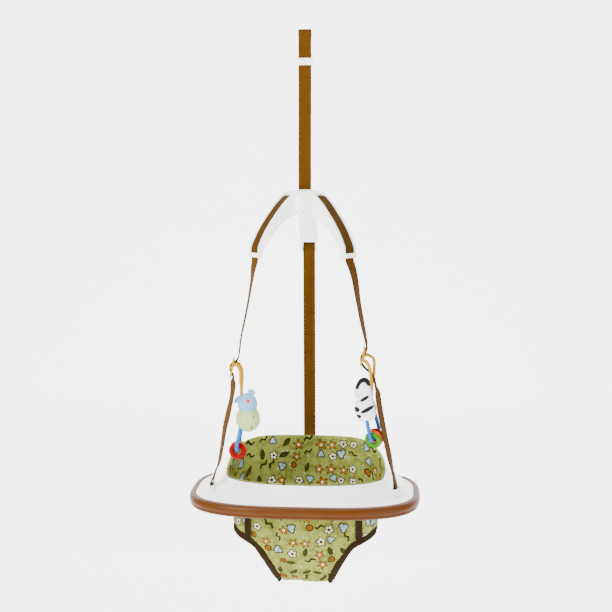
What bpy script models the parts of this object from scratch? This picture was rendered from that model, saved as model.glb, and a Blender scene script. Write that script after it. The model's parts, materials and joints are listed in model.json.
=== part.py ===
# Baby doorway jumper: a three-armed hanger on an adjustable webbing strap carries,
# on three more straps, a play tray with a fabric bucket seat and two clip-on toys.
# Metres, +Z up, +Y away from the front. The origin is the top of the hanging loop.

import math

import bmesh
import bpy
from mathutils import Matrix, Vector

OBJECT_NAME = "baby_doorway_jumper"

# Fits and shared counts
GAP = 0.0003
OVERRUN = 0.004
OVAL_SEGMENTS = 44
ROUTE_TOLERANCE = 0.0001
FINE_SPACING = 0.002
BEND_SPACING = 0.004
CURVE_SPACING = 0.011
LONG_SPACING = 0.05
TUBE_RESOLUTION = 2
SMOOTH_ANGLE = math.radians(38)

# Webbing
WEBBING_WIDTH = 0.032
WEBBING_THICKNESS = 0.0014
WEBBING_END_TAPER = 0.0015
NARROWED_END_SHARE = 0.15
WEBBING_LAYER_PITCH = WEBBING_THICKNESS + GAP

# Hanging loop at the top
EYE_HALF_OPENING = 0.008
EYE_DEPTH = 0.026
LOOP_HEM_DROP = 0.045

# Height adjuster that slides over the webbing
ADJUSTER_WIDTH = 0.041
ADJUSTER_HEIGHT = 0.017
ADJUSTER_CENTRE_DROP = 0.079
ADJUSTER_FRONT_WALL = 0.0022
ADJUSTER_BACK_WALL = 0.0020
ADJUSTER_CHANNEL_WIDTH = 0.0334
ADJUSTER_CHANNEL_DEPTH = 0.0022
ADJUSTER_TOP_BAR = 0.0030
ADJUSTER_WINDOW = 0.0056
ADJUSTER_EDGE_ROUND = 0.0008
SEWN_END_RISE = 0.014
SEWN_NECK_RISE = 0.0145
TAIL_LENGTH = 0.120

# Hanger: a hub with three arms that curve out and down
CROWN_TOP_DROP = 0.394
ARM_DROP = 0.168
ARM_REACH = 0.150
ARM_TIP_DROP = CROWN_TOP_DROP + ARM_DROP
ARM_ROOT_WIDTH = 0.050
ARM_TIP_WIDTH = 0.0434
ARM_WALL = 0.0025
ARM_RIM_STEP = 0.0008
ARM_RECESS_WIDTH = WEBBING_WIDTH + GAP * 4
ARM_RECESS_DEPTH = ARM_RIM_STEP + WEBBING_THICKNESS + GAP
ARM_DIRECTIONS = {"left": 217, "right": 323, "back": 90}
# Each row: outer reach, outer drop, inner reach, inner drop of one section of the arm
ARM_SECTION_SHARES = [
    (0.10, 0.028, 0.10, 0.290),
    (0.25, 0.028, 0.18, 0.318),
    (0.35, 0.082, 0.23, 0.330),
    (0.397, 0.118, 0.27, 0.350),
    (0.511, 0.212, 0.40, 0.415),
    (0.624, 0.330, 0.51, 0.480),
    (0.745, 0.465, 0.605, 0.550),
    (0.848, 0.600, 0.700, 0.640),
    (0.929, 0.730, 0.800, 0.752),
    (0.979, 0.830, 0.872, 0.841),
    (0.985, 0.905, 0.905, 0.906),
    (0.985, 1.000, 0.925, 1.000),
]
HUB_RADIUS = 0.052
HUB_HEIGHT = 0.053
# Each row: radius and drop of the hub's turned outline
HUB_PROFILE_SHARES = [(0.30, 0.01), (0.62, 0.07), (0.85, 0.19), (0.97, 0.38), (1.0, 0.62), (0.97, 1.0)]
HUB_WALL = 0.0028
COVER_THICKNESS = 0.0024
STRAP_ENTRY_SHARE = 0.3156
STRAP_ENTRY_REACH = ARM_REACH * STRAP_ENTRY_SHARE
STRAP_ENTRY_SLOT = 0.0110
TOP_SLOT_WIDTH = 0.037
TOP_SLOT_DEPTH = 0.015
CROSSBAR_DIAMETER = 0.008
CROSSBAR_LENGTH = 0.060
CROSSBAR_DEPTH = 0.033
CROSSBAR_DROP = CROWN_TOP_DROP + CROSSBAR_DEPTH
SADDLE_THICKNESS = 0.010
SADDLE_OFFSET = 0.024
SADDLE_DEPTH = 0.014
BORE_CLEARANCE = 0.0006
KEEPER_HEIGHT = 0.011
KEEPER_THICKNESS = 0.0035
KEEPER_TIP_OFFSET = 0.0085
KEEPER_CENTRE_DROP = ARM_TIP_DROP - KEEPER_TIP_OFFSET
PRONG_NOTCH_DEPTH = 0.028
PRONG_NOTCH_DROP = ARM_TIP_DROP - PRONG_NOTCH_DEPTH
COVER_SCREW_REACH = 0.037
COVER_SCREW_DIRECTIONS = {"left": 150, "right": 30, "front": 270}
SCREW_HEAD_DIAMETER = 0.0070
SCREW_HEAD_HEIGHT = 0.0022
SCREW_SHANK_DIAMETER = 0.0032
SCREW_SHANK_LENGTH = 0.012
SCREW_BOSS_DIAMETER = 0.0085

# Straps down to the tray
STRAP_BEND_RISE = 0.0057
STRAP_BEND_DROP = ARM_TIP_DROP - STRAP_BEND_RISE
FRONT_STRAP_FALL = 0.5899
FRONT_STRAP_LEAN = 0.0070
# Chosen points: each row is across, along and the drop below the keepers
FRONT_STRAP_PLACES = {
    "left": [
        (-0.1208, -0.0863, 0.0287), (-0.1255, -0.0844, 0.0617), (-0.1342, -0.0814, 0.1117),
        (-0.1440, -0.0785, 0.1600), (-0.1533, -0.0761, 0.2015), (-0.1585, -0.0750, 0.2405),
        (-0.1615, -0.0750, 0.2560), (-0.1680, -0.0750, 0.2650), (-0.1770, -0.0750, 0.2710),
        (-0.1817, -0.0750, 0.2797), (-0.1790, -0.0750, 0.2937), (-0.1742, -0.0750, 0.3060),
        (-0.1748, -0.0744, 0.3199), (-0.1797, -0.0720, 0.3598), (-0.1890, -0.0695, 0.3999),
        (-0.1986, -0.0671, 0.4402), (-0.2051, -0.0646, 0.4804), (-0.2130, -0.0621, 0.5211),
    ],
    "right": [
        (0.1235, -0.0863, 0.0287), (0.1308, -0.0845, 0.0597), (0.1385, -0.0815, 0.1097),
        (0.1476, -0.0786, 0.1597), (0.1545, -0.0767, 0.1920), (0.1598, -0.0750, 0.2180),
        (0.1592, -0.0750, 0.2300), (0.1550, -0.0750, 0.2395), (0.1480, -0.0750, 0.2462),
        (0.1455, -0.0750, 0.2567), (0.1490, -0.0750, 0.2697), (0.1580, -0.0750, 0.2802),
        (0.1690, -0.0750, 0.2897), (0.1780, -0.0750, 0.3037), (0.1845, -0.0739, 0.3287),
        (0.1878, -0.0729, 0.3440), (0.1936, -0.0705, 0.3833), (0.2017, -0.0680, 0.4253),
        (0.2100, -0.0655, 0.4667), (0.2189, -0.0629, 0.5080),
    ],
}
# The bearing of the width in degrees at each of those points, and how far it is gathered
FRONT_STRAP_BEARINGS = {
    "left": [120, 110, 106, 105, 104, 103, 97, 90, 90, 90, 92, 104, 122, 116, 119, 117, 114, 110],
    "right": [57, 63, 70, 73, 76, 79, 84, 90, 90, 90, 90, 90, 86, 82, 76, 68, 66, 68, 69, 70],
}
FRONT_STRAP_WIDTH_SHARES = {
    "left": [1, 1, 1, 1, 1, 1, 0.7, 0.45, 0.45, 0.45, 0.45, 0.6, 0.95, 1, 1, 1, 1, 1],
    "right": [1, 1, 1, 1, 0.95, 0.8, 0.55, 0.45, 0.45, 0.45, 0.45, 0.45, 0.45, 0.45, 0.7, 1, 1, 1, 1, 1],
}

# Anchors in the tray deck
ANCHOR_PAD_DROP = STRAP_BEND_DROP + FRONT_STRAP_FALL
STRAP_LOOP_RISE = 0.0419
STRAP_LOOP_TOP_DROP = ANCHOR_PAD_DROP - STRAP_LOOP_RISE
ANCHOR_PAD_LENGTH = 0.054
ANCHOR_PAD_WIDTH = 0.0185
ANCHOR_PAD_DEPTH = 0.012
BEZEL_FLANGE_LENGTH = 0.0460
BEZEL_FLANGE_WIDTH = 0.0165
BEZEL_FLANGE_THICKNESS = 0.0026
BEZEL_BODY_LENGTH = 0.0400
BEZEL_BODY_WIDTH = 0.0134
BEZEL_BODY_DEPTH = 0.0170
BEZEL_SLOT_LENGTH = 0.0350
BEZEL_SLOT_WIDTH = 0.0104
ANCHOR_PIN_DIAMETER = 0.0056
ANCHOR_PIN_DEPTH = 0.0095
BACK_LOOP_SLACK = 0.0020
# The front slots turn in towards the child, in degrees from straight ahead
FRONT_ANCHOR_TURN = 9.0

# Tray
TRAY_CENTRE_Y = 0.015
EDGE_HALF_WIDTH = 0.282
EDGE_HALF_DEPTH = 0.174
EDGE_ROUNDNESS_SHARE = 3.1
EDGE_BELOW_PAD = 0.0248
EDGE_DROP = ANCHOR_PAD_DROP + EDGE_BELOW_PAD
OPENING_CENTRE_Y = 0.029
OPENING_HALF_WIDTH = 0.209
OPENING_HALF_DEPTH = 0.119
OPENING_ROUNDNESS_SHARE = 2.5
LIP_FRONT_RISE = 0.0360
LIP_FRONT_DROP = EDGE_DROP - LIP_FRONT_RISE
LIP_BACK_RISE = 0.1070
LIP_BACK_DROP = EDGE_DROP - LIP_BACK_RISE
LIP_ROLL = 0.0050
INNER_WALL_FALL = 0.0070
INNER_WALL_DROP = EDGE_DROP + INNER_WALL_FALL
SKIRT_HEIGHT = 0.0130
TRAY_WALL = 0.0025
# Each row: place from opening to edge, height share at the front, height share at the back
DECK_SHARES = [
    (1.00, 0.00, 0.00),
    (0.90, 0.05, 0.02),
    (0.76, 0.20, 0.08),
    (0.63, 0.46, 0.15),
    (0.36, 0.64, 0.23),
    (0.22, 0.76, 0.36),
    (0.10, 0.90, 0.86),
    (0.00, 1.00, 1.00),
]
DECK_SEARCH_SHARE = 0.001
COLLAR_RISE_START_SHARE = -0.30
COLLAR_RISE_END_SHARE = 0.92
TRAY_HEIGHT = 0.0320
BASE_FLOOR_DROP = EDGE_DROP + TRAY_HEIGHT
BASE_EDGE_RISE = 0.0050
BASE_SIDE_DROP = BASE_FLOOR_DROP - BASE_EDGE_RISE
# Each row: place from opening to edge along the base floor
BASE_FLOOR_SHARES = [0.92, 0.55, 0.12]
BUMPER_DEPTH = 0.016
BUMPER_HEIGHT = 0.030
BUMPER_FALL = 0.0130
BUMPER_CENTRE_DROP = EDGE_DROP + BUMPER_FALL
# Each row: outward place and height of the bumper's two-lobed outline
BUMPER_SHARES = [
    (0.03, 0.86), (0.25, 1.00), (0.62, 0.95), (0.84, 0.72), (0.87, 0.50), (0.82, 0.36),
    (0.96, 0.12), (1.00, -0.22), (0.93, -0.62), (0.66, -0.92), (0.25, -1.00), (0.03, -0.92),
]
TRAY_SCREW_PLACES_SHARES = {"front_left": (-0.80, -0.62), "front_right": (0.80, -0.62),
                            "back_left": (-0.80, 0.66), "back_right": (0.80, 0.66)}
TRAY_BOSS_DIAMETER = 0.010
FRONT_ANCHOR_SHARE = 0.3493
FRONT_ANCHOR_X = OPENING_HALF_WIDTH + (EDGE_HALF_WIDTH - OPENING_HALF_WIDTH) * FRONT_ANCHOR_SHARE
FRONT_ANCHOR_Y = -0.0605
BACK_ANCHOR_SHARE = 0.6220
OPENING_BACK_Y = OPENING_CENTRE_Y + OPENING_HALF_DEPTH
EDGE_BACK_Y = TRAY_CENTRE_Y + EDGE_HALF_DEPTH
BACK_ANCHOR_Y = OPENING_BACK_Y + (EDGE_BACK_Y - OPENING_BACK_Y) * BACK_ANCHOR_SHARE

# Seat
SEAT_WALL = 0.0030
SEAT_INSET = 0.0066
SEAT_HEM_REACH = 0.0050
SEAT_HEM_RISE = 0.0006
SEAT_DEPTH = 0.2170
CROTCH_DROP = BASE_FLOOR_DROP + SEAT_DEPTH
# Each row: drop share below the tray, width share, depth share and roundness
SEAT_SHARES = [
    (0.00, 0.90, 0.94, 2.5),
    (0.10, 0.90, 0.92, 2.5),
    (0.25, 0.91, 0.87, 2.6),
    (0.42, 0.86, 0.80, 2.7),
    (0.60, 0.74, 0.70, 2.8),
    (0.77, 0.62, 0.57, 2.8),
    (0.89, 0.54, 0.41, 2.8),
    (0.97, 0.48, 0.25, 2.8),
    (1.00, 0.42, 0.12, 2.6),
]
SEAT_BOTTOM_CENTRE_Y = 0.022
SEAT_SEAM_SHARE = 0.3541
SEAT_SEAM_OFFSET = OPENING_HALF_WIDTH * SEAT_SEAM_SHARE
SEAT_PANEL_FULLNESS = 0.0045
SEAT_FULL_FROM_SHARE = 0.25
SEAT_FULL_TO_SHARE = 0.55
LEG_CUT_TOP_SHARE = 0.2765
LEG_CUT_TOP_DROP = BASE_FLOOR_DROP + SEAT_DEPTH * LEG_CUT_TOP_SHARE
LEG_CUT_WIDTH_SHARE = 0.6268
LEG_CUT_HALF_WIDTH = OPENING_HALF_WIDTH * LEG_CUT_WIDTH_SHARE
# Each row: half width share and drop share of the leg opening, from the side to the crotch
LEG_CUT_SHARES = [
    (1.70, -0.030), (1.466, 0.000), (1.275, 0.102), (1.092, 0.166), (0.908, 0.248), (0.733, 0.478),
    (0.588, 0.745), (0.496, 0.987), (0.485, 1.060),
]
BINDING_DIAMETER = 0.009
SEAT_STRAP_WIDTH = 0.017
SEAT_STRAP_SHARE = 0.6603
SEAT_STRAP_OFFSET = OPENING_HALF_WIDTH * SEAT_STRAP_SHARE
SEAT_STRAP_TOP_FALL = 0.0020
SEAT_STRAP_TOP_DROP = BASE_FLOOR_DROP + SEAT_STRAP_TOP_FALL
SEAT_STRAP_LENGTH = 0.0290
SEAT_STRAP_BOTTOM_DROP = SEAT_STRAP_TOP_DROP + SEAT_STRAP_LENGTH

# Toys
TOY_Y = -0.075
CLIP_ARM_SPREAD = 0.013
CLIP_ARM_DIAMETER = 0.0080
CLIP_BRIDGE_DIAMETER = 0.0060
CLIP_TAB_DIAMETER = 0.0052
CLIP_BRIDGE_OFFSET = CLIP_BRIDGE_DIAMETER / 2 + WEBBING_THICKNESS / 2 + GAP
LOOP_TUBE_DIAMETER = 0.0096
RING_OUTER_DIAMETER = 0.0444
RING_HOLE_DIAMETER = 0.0190
RING_THICKNESS = 0.0096
RING_PITCH = 0.0105
RINGS_PER_TOY = 3
# Places on the clips and loops: across, and the drop below the keepers. Bearing and climb in degrees
TOYS = {
    "left": {
        "bridge": (-0.1810 + CLIP_BRIDGE_OFFSET, 0.2797),
        "front_arm": [(-0.1680, 0.2722), (-0.1600, 0.2767), (-0.1545, 0.2897), (-0.1540, 0.3137)],
        "back_arm": [(-0.1680, 0.2722), (-0.1600, 0.2767), (-0.1545, 0.2897), (-0.1540, 0.3137)],
        "shaft": (-0.1540, 0.3637),
        "tab": [(-0.1703, 0.2552), (-0.1745, 0.2797), (-0.1793, 0.3010)],
        "loop_centre": (-0.1637, TOY_Y, 0.4885),
        "loop_bearing": 90,
        "loop_climb": 0,
        "loop_entry": [(-0.1560, 0.4327), (-0.1560, 0.4327)],
        "ring_colours": ("red", "orange", "green"),
    },
    "right": {
        "bridge": (0.1455 + CLIP_BRIDGE_OFFSET, 0.2567),
        "front_arm": [(0.1570, 0.2587), (0.1640, 0.2672), (0.1690, 0.2817), (0.1715, 0.3057)],
        "back_arm": [(0.1570, 0.2467), (0.1710, 0.2517), (0.1785, 0.2637), (0.1770, 0.2997)],
        "shaft": (0.1728, 0.3567),
        "tab": [(0.1550, 0.2244), (0.1505, 0.2510), (0.1449, 0.2692)],
        "loop_centre": (0.1806, TOY_Y + 0.0112, 0.4550),
        "loop_bearing": 66,
        "loop_climb": 18,
        "loop_entry": [(0.1600, 0.4027), (0.1800, 0.3917)],
        "ring_colours": ("green", "orange", "red"),
    },
}
# Each stuffed shape: its centre with the drop below the keepers, half sizes, swell and lean in degrees
STUFFED = {
    "hippo_head": {"centre": (-0.1388, TOY_Y, 0.3722), "half_sizes": (0.0246, 0.0228, 0.0265),
                   "swell_share": 0.10, "lean": 0},
    "hippo_body": {"centre": (-0.1378, TOY_Y, 0.4110), "half_sizes": (0.0312, 0.0248, 0.0342),
                   "swell_share": 0.06, "lean": 0},
    "hippo_ear_inner": {"centre": (-0.1290, TOY_Y, 0.3436), "half_sizes": (0.0054, 0.0036, 0.0094),
                        "swell_share": 0.0, "lean": -65},
    "hippo_ear_outer": {"centre": (-0.1620, TOY_Y, 0.3627), "half_sizes": (0.0048, 0.0036, 0.0120),
                        "swell_share": 0.0, "lean": 42},
    "zebra_body": {"centre": (0.1572, TOY_Y, 0.3790), "half_sizes": (0.0270, 0.0225, 0.0355),
                   "swell_share": 0.12, "lean": -8},
    "zebra_head": {"centre": (0.1550, TOY_Y, 0.3400), "half_sizes": (0.0205, 0.0185, 0.0330),
                   "swell_share": 0.12, "lean": -8},
    "zebra_snout": {"centre": (0.1385, TOY_Y - 0.006, 0.3410), "half_sizes": (0.0105, 0.0105, 0.0125),
                    "swell_share": 0.0, "lean": 10},
    "zebra_mane": {"centre": (0.1500, TOY_Y, 0.3125), "half_sizes": (0.0135, 0.0050, 0.0065),
                   "swell_share": 0.0, "lean": -25},
}


def material(name, colour, roughness, metallic=0.0):
    made = bpy.data.materials.new(name)
    made.use_nodes = True
    shader = made.node_tree.nodes["Principled BSDF"]
    shader.inputs["Base Color"].default_value = (*colour, 1.0)
    shader.inputs["Roughness"].default_value = roughness
    shader.inputs["Metallic"].default_value = metallic
    made.diffuse_color = (*colour, 1.0)
    return made


def clear_scene():
    for old in list(bpy.data.objects):
        bpy.data.objects.remove(old, do_unlink=True)


clear_scene()
PARTS = bpy.data.collections.new(OBJECT_NAME)
CUTTERS = bpy.data.collections.new("cutters")
bpy.context.scene.collection.children.link(PARTS)
bpy.context.scene.collection.children.link(CUTTERS)

WEBBING_BROWN = material("webbing_brown", (0.26, 0.10, 0.012), 0.85)
BUMPER_BROWN = material("bumper_brown", (0.27, 0.10, 0.015), 0.35)
PLASTIC_WHITE = material("plastic_white", (0.88, 0.86, 0.83), 0.38)
FABRIC_GREEN = material("fabric_green", (0.52, 0.60, 0.26), 0.92)
BINDING_DARK = material("binding_dark", (0.05, 0.025, 0.01), 0.9)
CLIP_YELLOW = material("clip_yellow", (0.90, 0.62, 0.04), 0.35)
LOOP_BLUE = material("loop_blue", (0.08, 0.32, 0.66), 0.3)
PLUSH_GREEN = material("plush_green", (0.58, 0.64, 0.42), 0.95)
PLUSH_BLUE = material("plush_blue", (0.36, 0.56, 0.66), 0.95)
PLUSH_WHITE = material("plush_white", (0.85, 0.85, 0.85), 0.95)
PLUSH_BLACK = material("plush_black", (0.015, 0.015, 0.015), 0.95)
STEEL = material("steel", (0.60, 0.60, 0.60), 0.3, 1.0)
RING_COLOURS = {
    "red": material("ring_red", (0.75, 0.05, 0.02), 0.3),
    "orange": material("ring_orange", (0.90, 0.30, 0.02), 0.3),
    "green": material("ring_green", (0.15, 0.52, 0.03), 0.3),
}


# Making and finishing objects
def add_object(name, mesh, finish):
    made = bpy.data.objects.new(name, mesh)
    PARTS.objects.link(made)
    mesh.materials.clear()
    mesh.materials.append(finish)
    mesh.shade_smooth()
    mesh.set_sharp_from_angle(angle=SMOOTH_ANGLE)
    return made


def add_cutter(name, mesh):
    made = bpy.data.objects.new(name, mesh)
    CUTTERS.objects.link(made)
    made.hide_render = True
    made.display_type = "WIRE"
    return made


def combine(target, tool, operation):
    step = target.modifiers.new(operation.lower() + "_" + tool.name, "BOOLEAN")
    step.operation = operation
    step.solver = "EXACT"
    step.object = tool


def mesh_from_bmesh(name, build):
    bmesh.ops.recalc_face_normals(build, faces=build.faces)
    mesh = bpy.data.meshes.new(name)
    build.to_mesh(mesh)
    build.free()
    return mesh


def loft(name, rings, closed=False, capped=True):
    build = bmesh.new()
    rows = [[build.verts.new(point) for point in ring] for ring in rings]
    pairs = list(zip(rows, rows[1:] + rows[:1])) if closed else list(zip(rows, rows[1:]))
    for lower, upper in pairs:
        for here in range(len(lower)):
            after = (here + 1) % len(lower)
            build.faces.new((lower[here], lower[after], upper[after], upper[here]))
    # Four corners that don't lie in one plane would upset the Booleans.
    bmesh.ops.triangulate(build, faces=build.faces)
    if capped and not closed:
        build.faces.new(list(reversed(rows[0])))
        build.faces.new(rows[-1])
    return mesh_from_bmesh(name, build)


def box(name, size, centre, turn=0.0):
    build = bmesh.new()
    bmesh.ops.create_cube(build, size=1.0)
    bmesh.ops.scale(build, vec=Vector(size), verts=build.verts)
    bmesh.ops.translate(build, vec=Vector(centre), verts=build.verts)
    bmesh.ops.rotate(build, matrix=Matrix.Rotation(turn, 3, "Z"), verts=build.verts)
    return mesh_from_bmesh(name, build)


def cylinder(name, diameter, start, end, segments=20):
    start, end = Vector(start), Vector(end)
    build = bmesh.new()
    bmesh.ops.create_cone(build, cap_ends=True, segments=segments, radius1=diameter / 2,
                          radius2=diameter / 2, depth=(end - start).length)
    turn = (end - start).to_track_quat("Z", "Y").to_matrix()
    bmesh.ops.rotate(build, matrix=turn, verts=build.verts)
    bmesh.ops.translate(build, vec=(start + end) / 2, verts=build.verts)
    return mesh_from_bmesh(name, build)


def turned(name, profile, steps=30):
    # The profile lies at +X and runs from the top down its outer side.
    build = bmesh.new()
    points = [build.verts.new((radius, 0, height)) for radius, height in profile]
    for upper, lower in zip(points, points[1:]):
        build.edges.new((upper, lower))
    mesh = bpy.data.meshes.new(name)
    build.to_mesh(mesh)
    build.free()
    made = bpy.data.objects.new(name, mesh)
    screw = made.modifiers.new("turn", "SCREW")
    screw.steps = steps
    screw.render_steps = steps
    screw.use_merge_vertices = True
    screw.merge_threshold = 0.0001
    return made


def smooth_route(points, spacing):
    # A Catmull-Rom curve through rows of numbers whose first three are a place.
    ends = [points[0]] + list(points) + [points[-1]]
    route = []
    for index in range(1, len(ends) - 2):
        before, start, finish, after = ends[index - 1:index + 3]
        length = (Vector(finish[:3]) - Vector(start[:3])).length
        count = max(1, round(length / spacing))
        for step in range(count):
            t = step / count
            route.append(tuple(
                0.5 * (2 * b + (c - a) * t + (2 * a - 5 * b + 4 * c - d) * t * t
                       + (3 * b - a - 3 * c + d) * t * t * t)
                for a, b, c, d in zip(before, start, finish, after)))
    route.append(tuple(points[-1]))
    return thinned(route)


def thinned(route):
    # Leaves out the rows that lie on a straight line between their neighbours.
    kept = [route[0]]
    for here in range(1, len(route) - 1):
        start, middle, finish = kept[-1], route[here], route[here + 1]
        span = Vector(finish[:3]) - Vector(start[:3])
        share = (Vector(middle[:3]) - Vector(start[:3])).length / span.length
        misses = [abs(mix(a, c, share) - b) for a, b, c in zip(start, middle, finish)]
        if len(misses) > 3:
            misses[3] = math.radians(misses[3]) * WEBBING_WIDTH
            misses[4] *= WEBBING_WIDTH
        if max(misses) > ROUTE_TOLERANCE:
            kept.append(middle)
    return kept + [route[-1]]


def tube(name, points, diameter, resolution=TUBE_RESOLUTION):
    curve = bpy.data.curves.new(name, "CURVE")
    curve.dimensions = "3D"
    curve.bevel_depth = diameter / 2
    curve.bevel_resolution = resolution
    curve.use_fill_caps = True
    spline = curve.splines.new("POLY")
    spline.points.add(len(points) - 1)
    for target, place in zip(spline.points, points):
        target.co = (*place[:3], 1.0)
    guide = bpy.data.objects.new(name + "_curve", curve)
    CUTTERS.objects.link(guide)
    mesh = bpy.data.meshes.new_from_object(guide.evaluated_get(bpy.context.evaluated_depsgraph_get()))
    bpy.data.objects.remove(guide, do_unlink=True)
    build = bmesh.new()
    build.from_mesh(mesh)
    bmesh.ops.remove_doubles(build, verts=build.verts, dist=GAP / 10)
    build.to_mesh(mesh)
    build.free()
    return mesh


def closed_tube(name, points, diameter, sides=8):
    # A tube whose ends meet, as round a leg opening.
    rings = []
    count = len(points)
    for index in range(count):
        before, here, after = (Vector(points[(index + step) % count]) for step in (-1, 0, 1))
        along = (after - before).normalized()
        across = along.cross(Vector((0, 1, 0)).lerp(Vector((1, 0, 0)), abs(along.y))).normalized()
        other = along.cross(across).normalized()
        rings.append([here + across * diameter / 2 * math.cos(turn) + other * diameter / 2 * math.sin(turn)
                      for turn in (math.tau * side / sides for side in range(sides))])
    return loft(name, rings, closed=True)


def narrowed_end(route):
    # The first end of a route drawn in over a short length, as a folded and sewn end is.
    start, beyond = Vector(route[0][:3]), Vector(route[1][:3])
    inner = start + (beyond - start).normalized() * WEBBING_END_TAPER
    return [(*route[0][:4], route[0][4] * NARROWED_END_SHARE), (*inner, *route[0][3:])] + list(route[1:])


def webbing(name, route, width=WEBBING_WIDTH, thickness=WEBBING_THICKNESS, taper=True):
    # Each row of the route: x, y, z, the width direction's bearing in degrees, width share.
    rings = []
    if taper:
        route = narrowed_end(narrowed_end(route)[::-1])[::-1]
    count = len(route)
    for index, (x, y, z, bearing, share) in enumerate(route):
        before = Vector(route[max(index - 1, 0)][:3])
        after = Vector(route[min(index + 1, count - 1)][:3])
        along = (after - before).normalized()
        across = Vector((math.cos(math.radians(bearing)), math.sin(math.radians(bearing)), 0))
        across = (across - along * across.dot(along)).normalized()
        face = along.cross(across).normalized()
        half_width, half_thickness = across * width * share / 2, face * thickness / 2
        centre = Vector((x, y, z))
        rings.append([centre - half_width - half_thickness, centre + half_width - half_thickness,
                      centre + half_width + half_thickness, centre - half_width + half_thickness])
    return loft(name, rings)


def flat_route(places, bearing, spacing):
    return smooth_route([(*place, bearing, 1.0) for place in places], spacing)


def egg(name, shape, grow=0.0, segments=16, rows=10):
    # An egg that is wider below its middle when its swell is positive.
    half_sizes = shape["half_sizes"]
    build = bmesh.new()
    bmesh.ops.create_uvsphere(build, u_segments=segments, v_segments=rows, radius=1.0)
    for point in build.verts:
        fuller = 1 - shape["swell_share"] * point.co.z
        point.co = Vector((point.co.x * fuller * (half_sizes[0] + grow),
                           point.co.y * fuller * (half_sizes[1] + grow),
                           point.co.z * (half_sizes[2] + grow)))
    bmesh.ops.rotate(build, matrix=Matrix.Rotation(math.radians(shape["lean"]), 3, "Y"), verts=build.verts)
    bmesh.ops.translate(build, vec=Vector(hung(*shape["centre"])), verts=build.verts)
    return mesh_from_bmesh(name, build)


def hung(x, y, drop):
    # A place given by its drop below the bends of the straps at the keepers.
    return x, y, -STRAP_BEND_DROP - drop


def mix(start, end, share):
    return start + (end - start) * share


def ease(value):
    value = min(max(value, 0.0), 1.0)
    return value * value * (3 - 2 * value)


def bearing_vector(degrees):
    return Vector((math.cos(math.radians(degrees)), math.sin(math.radians(degrees)), 0))


# Webbing at the top, and the height adjuster
def hanging_strap():
    back_leg = ADJUSTER_CHANNEL_DEPTH / 2 + ADJUSTER_BACK_WALL + GAP + WEBBING_THICKNESS / 2
    top_bar_top = -ADJUSTER_CENTRE_DROP + ADJUSTER_HEIGHT / 2
    top_bar_bottom = top_bar_top - ADJUSTER_TOP_BAR
    turn = top_bar_bottom - GAP - WEBBING_THICKNESS / 2
    eye_top = -WEBBING_THICKNESS / 2
    places = [
        (0, -WEBBING_LAYER_PITCH, -LOOP_HEM_DROP),
        (0, -WEBBING_LAYER_PITCH, -mix(EYE_DEPTH, LOOP_HEM_DROP, 0.5)),
        (0, -WEBBING_LAYER_PITCH * 1.3, -EYE_DEPTH),
        (0, -EYE_HALF_OPENING * 0.85, -EYE_DEPTH * 0.62),
        (0, -EYE_HALF_OPENING * 0.92, -EYE_DEPTH * 0.28),
        (0, -EYE_HALF_OPENING * 0.50, -EYE_DEPTH * 0.08),
        (0, 0, eye_top),
        (0, EYE_HALF_OPENING * 0.50, -EYE_DEPTH * 0.08),
        (0, EYE_HALF_OPENING * 0.92, -EYE_DEPTH * 0.28),
        (0, EYE_HALF_OPENING * 0.80, -EYE_DEPTH * 0.66),
        (0, EYE_HALF_OPENING * 0.16, -EYE_DEPTH),
        (0, 0, -mix(EYE_DEPTH, LOOP_HEM_DROP, 0.5)),
        (0, 0, top_bar_top),
        (0, 0, top_bar_bottom),
        (0, back_leg * 0.12, turn + WEBBING_THICKNESS * 0.25),
        (0, back_leg * 0.5, turn),
        (0, back_leg * 0.88, turn + WEBBING_THICKNESS * 0.25),
        (0, back_leg, top_bar_bottom),
        (0, back_leg, top_bar_top),
        (0, back_leg, top_bar_top + SEWN_END_RISE),
    ]
    route = flat_route(places, 0, BEND_SPACING)
    return add_object("hanging_strap", webbing("hanging_strap", route, taper=False), WEBBING_BROWN)


def adjuster():
    body = add_object("height_adjuster", box("height_adjuster", (
        ADJUSTER_WIDTH, ADJUSTER_FRONT_WALL + ADJUSTER_CHANNEL_DEPTH + ADJUSTER_BACK_WALL, ADJUSTER_HEIGHT),
        (0, (ADJUSTER_BACK_WALL - ADJUSTER_FRONT_WALL) / 2, -ADJUSTER_CENTRE_DROP)), PLASTIC_WHITE)
    bevel = body.modifiers.new("rounded_edges", "BEVEL")
    bevel.width = ADJUSTER_EDGE_ROUND
    bevel.segments = 2
    channel = add_cutter("adjuster_channel", box("adjuster_channel", (
        ADJUSTER_CHANNEL_WIDTH, ADJUSTER_CHANNEL_DEPTH, ADJUSTER_HEIGHT + OVERRUN),
        (0, 0, -ADJUSTER_CENTRE_DROP)))
    window_top = -ADJUSTER_CENTRE_DROP + ADJUSTER_HEIGHT / 2 - ADJUSTER_TOP_BAR
    window = add_cutter("adjuster_window", box("adjuster_window", (
        ADJUSTER_CHANNEL_WIDTH, ADJUSTER_BACK_WALL + OVERRUN, ADJUSTER_WINDOW),
        (0, (ADJUSTER_BACK_WALL + OVERRUN) / 2, window_top - ADJUSTER_WINDOW / 2)))
    combine(body, channel, "DIFFERENCE")
    combine(body, window, "DIFFERENCE")
    return body


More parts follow.
